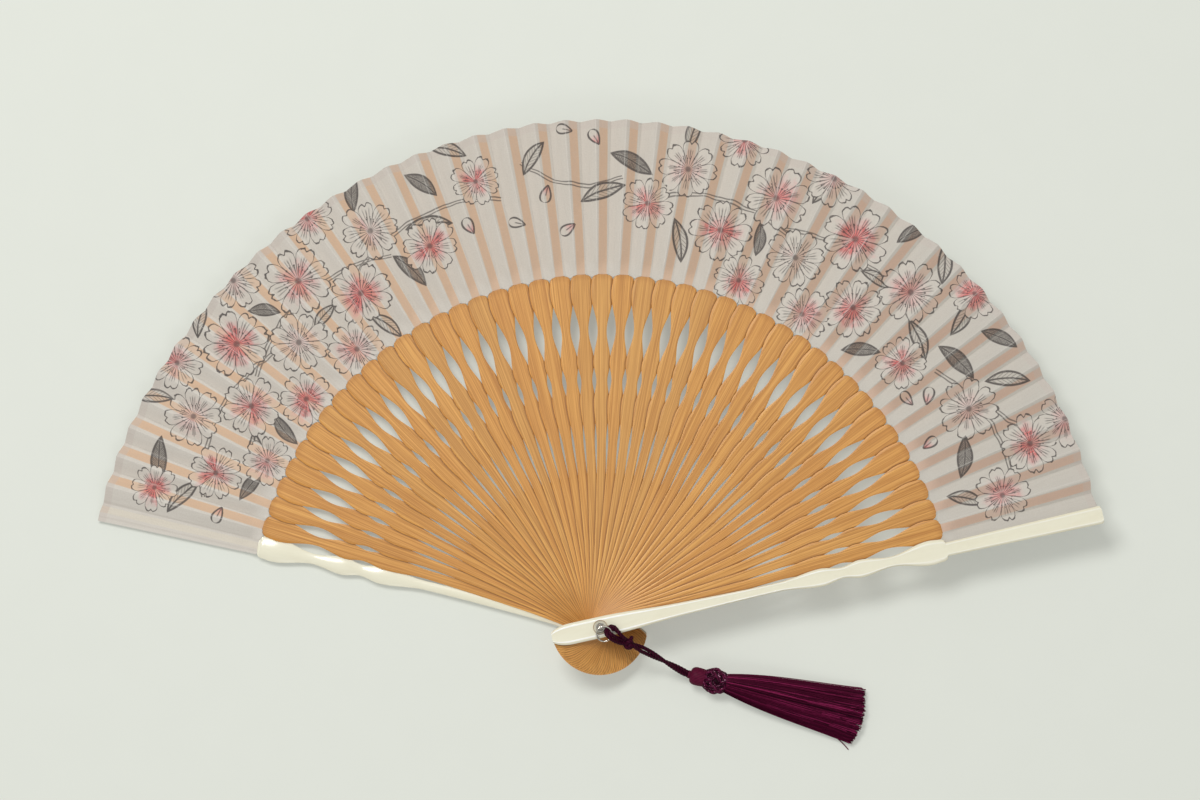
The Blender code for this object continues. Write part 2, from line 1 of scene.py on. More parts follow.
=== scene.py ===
"""Dresses the open folding fan: bamboo, lacquer, pleated silk, metal, cord and tassel.

Sizes are in millimetres and degrees unless a name says otherwise, and MM turns them into metres.
The rivet stands on the Z axis, azimuths are counted from +X, and a reach is a distance from the
rivet's axis.
"""
import logging
import math
import random
from dataclasses import astuple, dataclass, field, replace
from enum import Enum
from typing import Callable, Iterable, Sequence, Union

import bpy
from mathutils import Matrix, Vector


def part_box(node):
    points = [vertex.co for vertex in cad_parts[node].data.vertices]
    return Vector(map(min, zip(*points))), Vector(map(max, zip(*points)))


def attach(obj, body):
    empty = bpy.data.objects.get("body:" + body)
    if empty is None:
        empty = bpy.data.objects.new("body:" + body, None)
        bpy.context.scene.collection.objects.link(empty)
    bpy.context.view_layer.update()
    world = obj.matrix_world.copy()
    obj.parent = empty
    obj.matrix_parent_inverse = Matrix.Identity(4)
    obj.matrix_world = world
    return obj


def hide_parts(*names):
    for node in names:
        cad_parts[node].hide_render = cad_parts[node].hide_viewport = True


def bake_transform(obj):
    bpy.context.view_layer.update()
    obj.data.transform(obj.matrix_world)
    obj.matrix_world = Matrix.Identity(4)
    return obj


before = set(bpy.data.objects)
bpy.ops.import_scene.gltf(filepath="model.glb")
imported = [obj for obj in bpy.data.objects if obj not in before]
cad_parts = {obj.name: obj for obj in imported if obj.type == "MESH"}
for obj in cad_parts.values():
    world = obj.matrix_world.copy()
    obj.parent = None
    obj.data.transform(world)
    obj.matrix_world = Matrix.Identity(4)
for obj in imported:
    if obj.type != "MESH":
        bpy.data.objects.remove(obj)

MM = 0.001
WASH_HEIGHT = 0.01
PETALS = 8
STAMENS = 20
PRINT_MARGIN = 7.0
STEM_MARGIN = 16.0
BULGE_PEAK = 0.148
log = logging.getLogger("folding_fan")

Colour = tuple[float, float, float, float]
Station = tuple[float, float]
Spot = tuple[float, float, float]
Section = tuple[float, Sequence[Station]]


def srgb(red: int, green: int, blue: int) -> Colour:
    """Turns a screen colour, counted from 0 to 255, into the linear one that shaders take."""
    linear = [((c / 255 + 0.055) / 1.055) ** 2.4 if c > 10 else c / 255 / 12.92 for c in (red, green, blue)]
    return (*linear, 1.0)


def ease(share: float) -> float:
    """Smooth step from 0 to 1."""
    share = min(max(share, 0.0), 1.0)
    return share * share * (3 - 2 * share)


def between(low: float, high: float, share: float) -> float:
    """Value at a share of the way from low to high."""
    return low + (high - low) * share


def spread(low: float, high: float, count: int) -> list[float]:
    """Even steps from low to high, with both ends."""
    return [between(low, high, k / count) for k in range(count + 1)]


def around(radius: float, angle: float, height: float = 0.0) -> Vector:
    """Point at a radius and at an angle in radians about the Z axis."""
    return Vector((radius * math.cos(angle), radius * math.sin(angle), height))


# Shader graphs


class Signal:
    """One output of a shader node, on which plain arithmetic adds Math nodes."""

    def __init__(self, board: "Board", socket: bpy.types.NodeSocket) -> None:
        """Keeps the board and the socket."""
        self.board = board
        self.socket = socket

    @staticmethod
    def _operator(operation: str, swapped: bool = False) -> Callable[..., "Signal"]:
        """Method that adds a Math node, with the number first where it is swapped."""
        if swapped:
            return lambda self, other: self.board.math(operation, other, self)
        return lambda self, *others: self.board.math(operation, self, *others)

    __add__, __radd__ = _operator("ADD"), _operator("ADD", True)
    __sub__, __rsub__ = _operator("SUBTRACT"), _operator("SUBTRACT", True)
    __mul__, __rmul__ = _operator("MULTIPLY"), _operator("MULTIPLY", True)
    __truediv__, __pow__ = _operator("DIVIDE"), _operator("POWER")
    __lt__, __gt__ = _operator("LESS_THAN"), _operator("GREATER_THAN")
    __abs__ = _operator("ABSOLUTE")

    def other(self, name: str) -> "Signal":
        """Another output of the same node."""
        return Signal(self.board, self.socket.node.outputs[name])


Number = Union[Signal, float, int]


class Board:
    """Node tree of one material, which every node enters through one method."""

    def __init__(self, name: str) -> None:
        """Makes the material and empties its tree."""
        self.material = bpy.data.materials.new(name)
        self.material.use_nodes = True
        self.tree = self.material.node_tree
        self.tree.nodes.clear()

    def node(
        self,
        kind: str,
        output: Union[str, int] = 0,
        settings: Union[dict, None] = None,
        sockets: Union[dict, None] = None,
    ) -> Signal:
        """Adds a node.

        Args:
            kind: Type of the node without its ShaderNode prefix.
            output: Name or number of the output that is wanted.
            settings: Properties of the node.
            sockets: Value or Signal for each input, by name or number.

        Returns:
            The wanted output.
        """
        made = self.tree.nodes.new("ShaderNode" + kind)
        for name, value in (settings or {}).items():
            setattr(made, name, value)
        for name, value in (sockets or {}).items():
            if isinstance(value, Signal):
                self.tree.links.new(value.socket, made.inputs[name])
            else:
                made.inputs[name].default_value = value
        if not made.outputs:
            return Signal(self, None)
        return Signal(self, made.outputs[output])

    def math(self, operation: str, *values: Number) -> Signal:
        """Adds a Math node on the values."""
        return self.node("Math", 0, {"operation": operation}, dict(enumerate(values)))

    def vector(self, operation: str, *values: object, output: str = "Vector") -> Signal:
        """Adds a Vector Math node on the values."""
        return self.node("VectorMath", output, {"operation": operation}, dict(enumerate(values)))

    def mix(self, factor: Number, first: object, second: object) -> Signal:
        """Blends two colours."""
        return self.node("Mix", 2, {"data_type": "RGBA"}, {0: factor, 6: first, 7: second})

    def layers(self, colour: object, *steps: tuple) -> Signal:
        """Lays colours over one another.

        Args:
            colour: Colour to start from.
            *steps: For each layer a value, where it begins and is full, its strength and colour.

        Returns:
            The colour.
        """
        for value, low, high, strength, over in steps:
            colour = self.mix(self.step(value, low, high) * strength, colour, over)
        return colour

    def most(self, first: Number, *others: Number) -> Signal:
        """Largest of the values."""
        for value in others:
            first = self.math("MAXIMUM", first, value)
        return first

    def split(self, place: Signal) -> Signal:
        """X of a vector, whose node has Y and Z too."""
        return self.node("SeparateXYZ", "X", None, {0: place})

    def up(self, place: Signal) -> Signal:
        """Z of a vector."""
        return self.split(place).other("Z")

    def choose(self, factor: Number, first: Signal, second: Signal) -> Signal:
        """Blends two vectors."""
        return self.node("Mix", 1, {"data_type": "VECTOR"}, {0: factor, 4: first, 5: second})

    def step(self, value: Number, low: float, high: float) -> Signal:
        """Smooth step of a value, 0 at low and 1 at high."""
        ends = {1: low, 2: high, 3: 0.0, 4: 1.0} if low < high else {1: high, 2: low, 3: 1.0, 4: 0.0}
        return self.node("MapRange", 0, {"interpolation_type": "SMOOTHSTEP"}, {0: value, **ends})

    def painted(self, name: str) -> Signal:
        """Number painted on the mesh's points."""
        return self.node("Attribute", "Fac", {"attribute_name": name})

    def chart(self, name: str) -> tuple[Signal, Signal]:
        """The two coordinates of a UV map."""
        split = self.split(self.node("UVMap", 0, {"uv_map": name}))
        return split, split.other("Y")

    def join(self, x: Number, y: Number, z: Number = 0.0) -> Signal:
        """Vector from three numbers."""
        return self.node("CombineXYZ", 0, None, {0: x, 1: y, 2: z})

    def noise(self, place: Signal, scale: float, detail: float = 2.0, rough: float = 0.5) -> Signal:
        """Noise from 0 to 1."""
        sockets = {"Vector": place, "Scale": scale, "Detail": detail, "Roughness": rough}
        return self.node("TexNoise", "Fac", None, sockets)

    def bump(self, height: Signal, strength: float, depth: float) -> Signal:
        """Surface relief, with its depth in millimetres."""
        return self.node("Bump", 0, None, {"Height": height, "Strength": strength, "Distance": depth * MM})

    def finish(self, **sockets: object) -> bpy.types.Material:
        """Closes the tree with a Principled shader.

        Args:
            **sockets: Inputs of the shader, with _ for each space in their names.

        Returns:
            The material.
        """
        named = {name.replace("_", " "): value for name, value in sockets.items()}
        shader = self.node("BsdfPrincipled", 0, None, named)
        self.node("OutputMaterial", 0, None, {"Surface": shader})
        return self.material


# Finishes


@dataclass(frozen=True)
class BambooFinish:
    """Varnished bamboo with its fibres along the stick, with painted shade where the next stick lies on it
    and painted highlights along its edges and near the pivot.
    """

    pale: Colour = srgb(236, 180, 98)
    middle: Colour = srgb(211, 148, 66)
    deep: Colour = srgb(164, 104, 38)
    ruddy: Colour = srgb(200, 134, 60)
    olive: Colour = srgb(192, 146, 80)
    # Colour of the painted highlight along each stick's edges.
    lip: Colour = srgb(216, 146, 62)
    painted_shade: Colour = srgb(118, 73, 30)
    pitch_sine: float = math.sin(math.radians(3.5))

    def material(self) -> bpy.types.Material:
        """Builds the bamboo's material."""
        board = Board("bamboo")
        step = board.step
        reach, side = board.chart("length")
        tone = board.painted("tone")
        rim = board.painted("rim")
        cover = board.painted("cover")
        along = reach * 0.010 + tone * 37.0
        broad = board.noise(board.join(along, side * 0.45, tone * 11.0), 1.0, 2.0)
        grain = board.noise(board.join(reach * 0.016 + tone * 23.0, side * 1.5, tone * 5.0), 1.0, 2.0, 0.6)
        fibre = board.noise(board.join(reach * 0.05 + tone * 19.0, side * 3.6, tone), 1.0, 3.0, 0.6)
        hair = board.noise(board.join(reach * 0.11, side * 9.0, tone * 7.0), 1.0, 2.0, 0.5)
        strand = board.noise(board.join(reach * 0.014 + tone * 29.0, side * 2.6, tone * 13.0), 1.0, 2.0, 0.6)
        shade = step(grain * 0.45 + fibre * 0.55, 0.36, 0.64)
        colour = board.mix(shade, self.deep, self.pale)
        colour = board.mix(0.52, colour, self.middle)
        colour = board.layers(
            colour,
            (tone, 0.1, 0.9, 0.30, self.ruddy),
            (tone, -0.2, -0.9, 0.35, self.olive),
            (strand, 0.50, 0.64, 0.50, self.deep),
            (strand, 0.46, 0.35, 0.44, self.pale),
            (broad, 0.35, 0.75, 0.22, self.deep),
            (hair, 0.56, 0.70, 0.38, self.deep),
            # Painted highlight: a lit orange along both edges of each stick.
            (rim, 0.86, 0.98, 0.45, self.lip),
        )
        facing = board.up(board.node("NewGeometry", "Normal"))
        upper = step(facing, 0.15, 0.60)
        onward = (reach > 0.0) * 2.0 - 1.0
        spare = (side - cover) * onward
        room = board.math("MINIMUM", abs(reach) * self.pitch_sine, 2.2)
        # Painted shade on up-facing faces beside the edge of the next stick, which lies on this one.
        shadow = step(spare / room, 0.42, -0.05)
        # Painted highlight on the far side of each stick's visible part, near the pivot.
        crown = step(spare / room, 0.62, 0.92) * step(abs(reach), 60.0, 20.0)
        colour = board.mix(crown * upper * 0.55, colour, self.pale)
        colour = board.mix(shadow * upper * 0.72, colour, self.painted_shade)
        # Painted shade: a darker line right at that edge.
        colour = board.mix(step(spare / room, 0.10, 0.0) * upper * 0.6, colour, self.painted_shade)
        # Darker along the shoulder's burnt rim, and darker towards the pivot.
        burnt_shoulder_and_darker_pivot = step(reach, 129.6, 132.2) * 0.35 + step(abs(reach), 22.0, 3.0) * 0.18
        colour = board.mix(burnt_shoulder_and_darker_pivot, colour, self.deep)
        rough = 0.42 + fibre * 0.18
        relief = board.bump(grain * 0.4 + fibre * 0.4 + hair * 0.3, 0.75, 0.09)
        coat = {"Coat_Weight": 0.1, "Coat_Roughness": 0.35}
        return board.finish(Base_Color=colour, Roughness=rough, Normal=relief, **coat)


@dataclass(frozen=True)
class LacquerFinish:
    """Thick cream lacquer, with a painted highlight along the two creases of the outer face."""

    body: Colour = srgb(237, 233, 210)
    warm: Colour = srgb(226, 218, 188)
    # Colour of the painted highlight along the creases.
    ridge: Colour = srgb(255, 255, 252)
    crease: float = 0.72
    outer_height: float = 1.5

    def material(self) -> bpy.types.Material:
        """Builds the lacquer's material."""
        board = Board("cream_lacquer")
        step = board.step
        reach, side = board.chart("length")
        rim = board.painted("rim")
        height = board.up(board.node("TexCoord", "Object"))
        outer = step(height, (self.outer_height - 0.1) * MM, (self.outer_height + 0.1) * MM)
        cloud = board.noise(board.join(reach * 0.06, side * 0.3), 1.0, 2.0)
        colour = board.mix(step(cloud, 0.4, 0.7) * 0.22, self.body, self.warm)
        bevel = step(rim, self.crease + 0.05, self.crease + 0.14)
        colour = board.mix(bevel * outer * 0.30, colour, self.warm)
        # Painted highlight: a thin near-white line along each crease of the outer face, fainter along the
        # tongue.
        fading = 1.0 - 0.6 * step(reach, 40.0, 135.0)
        line = step(abs(rim - self.crease + 0.02), 0.10, 0.04) * outer * fading
        colour = board.mix(line * (0.55 + 0.35 * step(cloud, 0.3, 0.6)), colour, self.ridge)
        sag = board.noise(board.join(reach * 0.1, side * 0.45, 5.0), 1.0, 1.0)
        speck = board.noise(board.join(reach, side, 2.0), 2.6, 1.0)
        relief = board.bump(sag + step(speck, 0.72, 0.8) * 0.04, 0.2, 0.4)
        rough = 0.20 + cloud * 0.08
        coat = {"Coat_Weight": 0.45, "Coat_Roughness": 0.10}
        return board.finish(Base_Color=colour, Roughness=rough, Normal=relief, **coat)


class SilkSide(Enum):
    """The two sides of the leaf."""

    FACE = "silk_face"
    REVERSE = "silk_reverse"


@dataclass(frozen=True)
class Motif:
    """One flower or leaf of the print.

    The sizes are its half length and half width, and the wash says how red a flower is.
    """

    azimuth: float
    reach: float
    length: float
    width: float
    turn: float
    wash: float = 0.0

    def place(self) -> Vector:
        """Middle of the motif in the fan's plane."""
        return around(self.reach, math.radians(self.azimuth))


@dataclass(frozen=True)
class Stem:
    """One curved stem of the print: a circle's arc around a centre."""

    azimuth: float
    reach: float
    radius: float
    middle: float
    half: float

    def bearing(self) -> float:
        """Azimuth of the arc's middle, in degrees."""
        centre, spoke = math.radians(self.azimuth), math.radians(self.middle)
        x = self.reach * math.cos(centre) + self.radius * math.cos(spoke)
        return math.degrees(math.atan2(self.reach * math.sin(centre) + self.radius * math.sin(spoke), x))


def motif_rows(*rows: tuple[float, ...]) -> tuple[Motif, ...]:
    """Motifs from rows of azimuth, reach, half sizes (one where they are alike), turn and wash."""
    return tuple(Motif(*row[:3], *row[-3:]) for row in rows)


def stem_rows(*rows: tuple[float, ...]) -> tuple[Stem, ...]:
    """Stems from rows of their fields."""
    return tuple(Stem(*row) for row in rows)


@dataclass(frozen=True)
class PrintDesign:
    """Generic spray of open eight-petalled flowers, lance leaves, loose petals and thin stems."""

    flowers: tuple[Motif, ...] = motif_rows(
        (18.5, 158, 10.5, 66, 0.55), (23.5, 174.5, 11.5, 12, 0.95), (31, 160, 11.5, 30, 0.25),
        (47.5, 171, 12, 75, 0.5), (52, 152.5, 11.5, 40, 0.85), (57, 174, 13, 20, 1),
        (62.5, 156.5, 11.5, 55, 0.2), (68, 174, 12.5, 8, 0.6), (73.5, 155.5, 12, 33, 0.95),
        (79.5, 175, 11, 70, 0.3), (84, 160, 10, 15, 0.7), (106, 174, 9.5, 33, 0.8),
        (120.5, 172.5, 11.5, 5, 0.35), (126, 154.5, 12, 60, 0.9), (131.5, 173, 13, 10, 0.65),
        (137, 156, 11.5, 48, 0.25), (142.5, 173.5, 13, 80, 1), (148, 155.5, 11.5, 25, 0.7),
        (153, 172.5, 11, 52, 0.3), (158.5, 156, 10.5, 18, 0.8), (24.5, 190, 10.5, 50, 0.4),
        (57.5, 139.5, 10.5, 10, 0.6), (62.8, 189.5, 11, 36, 0.45), (68.6, 140, 10, 70, 0.85),
        (73.8, 190.5, 10.5, 22, 0.75), (114.5, 157, 11, 44, 0.95), (131.6, 139, 11, 30, 0.5),
        (137, 190, 11, 5, 0.35), (142.6, 140, 10.5, 58, 0.9), (148.4, 188, 10.5, 40, 0.6),
        (41.5, 150, 10, 24, 0.7), (42, 187.5, 9.5, 62, 0.9), (126, 189, 10.5, 18, 0.8),
        (153.8, 140, 9.5, 47, 0.5), (163, 176, 9, 31, 0.9),
    )
    leaves: tuple[Motif, ...] = motif_rows(
        (25.5, 149.5, 7.5, 2.6, 60, 1), (31.5, 178, 8, 2.6, 150, 0), (37, 166, 8.5, 2.8, 100, 1),
        (41, 178, 7.5, 2.5, 20, 0), (42.5, 160, 8, 2.6, 70, 0), (63, 184, 6.5, 2.2, 160, 0),
        (79, 148, 8, 2.6, 20, 0), (86.5, 174.5, 8.5, 2.7, 65, 1), (90, 163, 8.5, 2.7, 110, 0),
        (98.5, 178, 7, 2.4, 140, 0), (112.5, 179.5, 7, 2.4, 35, 1), (113.5, 164, 8.5, 2.7, 75, 0),
        (118.5, 152, 8, 2.6, 20, 1), (153, 145, 7, 2.4, 130, 0), (159.5, 177, 8.5, 2.7, 110, 1),
        (163, 164.5, 8, 2.5, 60, 0), (19.5, 144.5, 7, 2.4, 150, 0), (36.2, 184, 7, 2.4, 120, 1),
        (47, 187, 7.5, 2.5, 40, 0), (51.8, 188, 6.5, 2.2, 155, 1), (47, 142, 7, 2.3, 130, 1),
        (52, 166, 6, 2, 95, 0), (68.2, 157, 6, 2.1, 15, 1), (79.5, 189, 7, 2.3, 170, 0),
        (108.2, 188, 7, 2.4, 60, 0), (120, 188, 7, 2.4, 150, 1), (125.8, 139, 7, 2.3, 20, 0),
        (132, 156, 6, 2.1, 100, 0), (137.2, 173.5, 6, 2.1, 40, 1), (142.8, 189.5, 6.5, 2.2, 115, 0),
        (148.2, 140, 7, 2.3, 160, 1), (153.2, 189, 7, 2.4, 25, 0), (158.4, 141.5, 6.5, 2.2, 70, 1),
    )
    petals: tuple[Motif, ...] = motif_rows(
        (35.5, 150, 3.4, 2.5, 40, 0.7), (91, 184, 3.2, 2.4, 30, 0.9), (97.5, 164, 3.4, 2.5, 160, 0.7),
        (102, 155, 3.2, 2.3, 65, 0.1), (108.5, 158.5, 3.4, 2.5, 15, 0.8), (164, 150, 3.2, 2.4, 80, 0.6),
        (95, 150, 3.2, 2.4, 120, 0.8), (94.5, 187.5, 3, 2.3, 75, 0.2), (29.5, 141, 3.2, 2.4, 10, 0.9),
        (37, 143, 3.2, 2.3, 95, 0.5),
    )
    stems: tuple[Stem, ...] = stem_rows(
        (26, 110, 56, 32, 30), (33, 205, 40, 232, 34), (74, 110, 58, 78, 34), (92, 205, 40, 262, 30),
        (132, 106, 62, 132, 34), (150, 108, 58, 152, 34), (56, 110, 60, 52, 32), (112, 108, 62, 118, 30),
    )

    def within(self, low: float, high: float) -> "PrintDesign":
        """The motifs that reach between two azimuths."""
        kept = [
            tuple(motif for motif in kind if low - PRINT_MARGIN < motif.azimuth < high + PRINT_MARGIN)
            for kind in (self.flowers, self.leaves, self.petals)
        ]
        low, high = low - STEM_MARGIN, high + STEM_MARGIN
        return PrintDesign(*kept, tuple(stem for stem in self.stems if low < stem.bearing() < high))

    def nearest(self, board: Board, place: Signal, motifs: Iterable[Motif]) -> tuple[Signal, Signal]:
        """Finds the nearest motif and the place in it.

        Args:
            board: Node tree.
            place: Place on the leaf.
            motifs: Flowers, leaves or petals.

        Returns:
            The place counted from the motif's middle in its half sizes, with its wash as a small
            height, and the distance.
        """
        best = None
        found = None
        for motif in motifs:
            settings = {"vector_type": "TEXTURE"}
            at = motif.place()
            sockets = {
                0: place,
                1: (at.x, at.y, -motif.wash * WASH_HEIGHT),
                2: (0.0, 0.0, math.radians(motif.azimuth + motif.turn)),
                3: (motif.length, motif.width, 1.0),
            }
            local = board.node("Mapping", 0, settings, sockets)
            far = board.vector("LENGTH", local, output="Value")
            found = local if best is None else board.choose(far < best, found, local)
            best = far if best is None else board.math("MINIMUM", best, far)
        return found, best

    def chance(self, board: Board, *numbers: Number) -> Signal:
        """Even chance from 0 to 1 that hangs on the numbers."""
        place = board.join(*numbers)
        return board.node("TexWhiteNoise", "Value", {"noise_dimensions": "3D"}, {0: place})

    def draw_flowers(self, board: Board, place: Signal) -> tuple[Signal, Signal, Signal]:
        """Draws the flowers.

        Args:
            board: Node tree.
            place: Place on the leaf.

        Returns:
            Ink, red wash and the flowers' own area, each from 0 to 1.
        """
        step = board.step
        local, far = self.nearest(board, place, self.flowers)
        split = board.split(local)
        wash = board.math("ROUND", split.other("Z") * (20.0 / WASH_HEIGHT)) / 20.0
        angle = board.math("ARCTAN2", split.other("Y"), split)
        turn = angle * (PETALS / math.tau) + PETALS
        across = abs(board.math("FRACT", turn) * 2.0 - 1.0)
        luck = self.chance(board, board.math("FLOOR", turn), wash * 31.0, 1.0)
        wobble = board.noise(place, 0.35, 1.0) - 0.5
        ragged = board.noise(place, 1.1, 1.0) - 0.5
        edge = 0.90 + luck * 0.10 - 0.36 * across**4.0 - 0.08 * step(across, 0.24, 0.0) + wobble * 0.12
        edge = edge + ragged * 0.05
        inside = step(far - edge, 0.01, -0.01)
        outline = step(abs(far - edge), 0.036, 0.016)
        seam = step(across, 0.88, 0.95) * step(far, 0.16, 0.24) * inside
        crease = step(abs(across - 0.42 + luck * 0.2), 0.10, 0.04)
        crease = crease * step(far, 0.80 - luck * 0.15, 0.62) * step(far, 0.34, 0.44)
        rib = step(across, 0.13, 0.04) * step(far, 0.74, 0.60) * step(far, 0.30, 0.40)
        ray = angle * (STAMENS / math.tau) + STAMENS
        beside = abs(board.math("FRACT", ray) * 2.0 - 1.0)
        span = 0.26 + self.chance(board, board.math("FLOOR", ray), wash * 17.0, 5.0) * 0.20
        stamen = step(beside + far * 0.25, 0.66, 0.84) * step(far - span, 0.02, -0.02)
        spot = board.join(far - span - 0.02, (1.0 - beside) * far * (math.pi / STAMENS))
        anther = step(board.vector("LENGTH", spot, output="Value"), 0.040, 0.022)
        heart = step(far, 0.13, 0.06)
        pen = board.most(outline, seam * 0.9, crease * 0.55, rib * 0.75, stamen * 0.85, anther, heart * 0.8)
        blush = step(far + wobble * 0.55, 0.62 + luck * 0.38, 0.10) * inside * wash
        blush = blush * (0.45 + luck * 0.75)
        return pen, blush, inside

    def draw_leaves(self, board: Board, place: Signal) -> tuple[Signal, Signal]:
        """Draws the lance leaves, some of them hatched dark.

        Args:
            board: Node tree.
            place: Place on the leaf.

        Returns:
            Ink and the leaves' own area, each from 0 to 1.
        """
        step = board.step
        local, _ = self.nearest(board, place, self.leaves)
        split = board.split(local)
        dark = split.other("Z") * (1.0 / WASH_HEIGHT)
        bend = split.other("Y") + (1.0 - split * split) * 0.35
        height = abs(bend)
        edge = 1.0 - split * split
        inside = step(height - edge, 0.06, -0.06)
        outline = step(abs(height - edge), 0.22, 0.11)
        midrib = step(height, 0.18, 0.08) * inside
        slant = board.math("FRACT", (height * 0.45 + split) * 4.5)
        veins = step(abs(slant - 0.5), 0.15, 0.07) * inside
        hatch = board.math("FRACT", (height * 0.40 + split) * 11.0)
        fill = step(hatch, 0.12, 0.30) * inside * dark * step(height, 0.10, 0.20)
        pen = board.most(outline, midrib, veins * 0.65, fill * 0.9)
        return pen * step(abs(split), 1.12, 1.04), inside

    def draw_petals(self, board: Board, place: Signal) -> tuple[Signal, Signal]:
        """Draws the loose petals, pointed at one end.

        Args:
            board: Node tree.
            place: Place on the leaf.

        Returns:
            Ink and red wash, each from 0 to 1.
        """
        step = board.step
        local, _ = self.nearest(board, place, self.petals)
        split = board.split(local)
        wash = split.other("Z") * (1.0 / WASH_HEIGHT)
        across = abs(split.other("Y"))
        share = board.most(split * 0.5 + 0.5, 0.0)
        edge = board.math("SQRT", share) * board.math("SQRT", board.most(1.0 - split * split, 0.0))
        inside = step(across - edge, 0.05, -0.05) * step(abs(split), 1.0, 0.97)
        outline = step(abs(across - edge), 0.20, 0.10) * step(abs(split), 1.05, 1.0)
        rib = step(across, 0.14, 0.06) * step(split, 0.35, 0.1) * inside
        blush = step(split, 0.7, -0.9) * inside * wash
        return board.most(outline, rib * 0.8), blush

    def draw_stems(self, board: Board, place: Signal) -> Signal:
        """Draws the stems, thin circle arcs."""
        pen = None
        wobble = board.noise(place, 0.12, 1.0) * 2.4
        for stem in self.stems:
            at = tuple(around(stem.reach, math.radians(stem.azimuth)))
            sockets = {0: place, 1: at, 2: (0.0, 0.0, math.radians(stem.middle)), 3: (1.0, 1.0, 1.0)}
            local = board.node("Mapping", 0, {"vector_type": "TEXTURE"}, sockets)
            split = board.split(local)
            far = board.vector("LENGTH", local, output="Value") + wobble
            swing = abs(board.math("ARCTAN2", split.other("Y"), split))
            pair = abs(abs(far - stem.radius) - 0.55)
            mark = board.step(pair, 0.34, 0.16) * (swing < math.radians(stem.half))
            pen = mark if pen is None else board.most(pen, mark)
        return pen


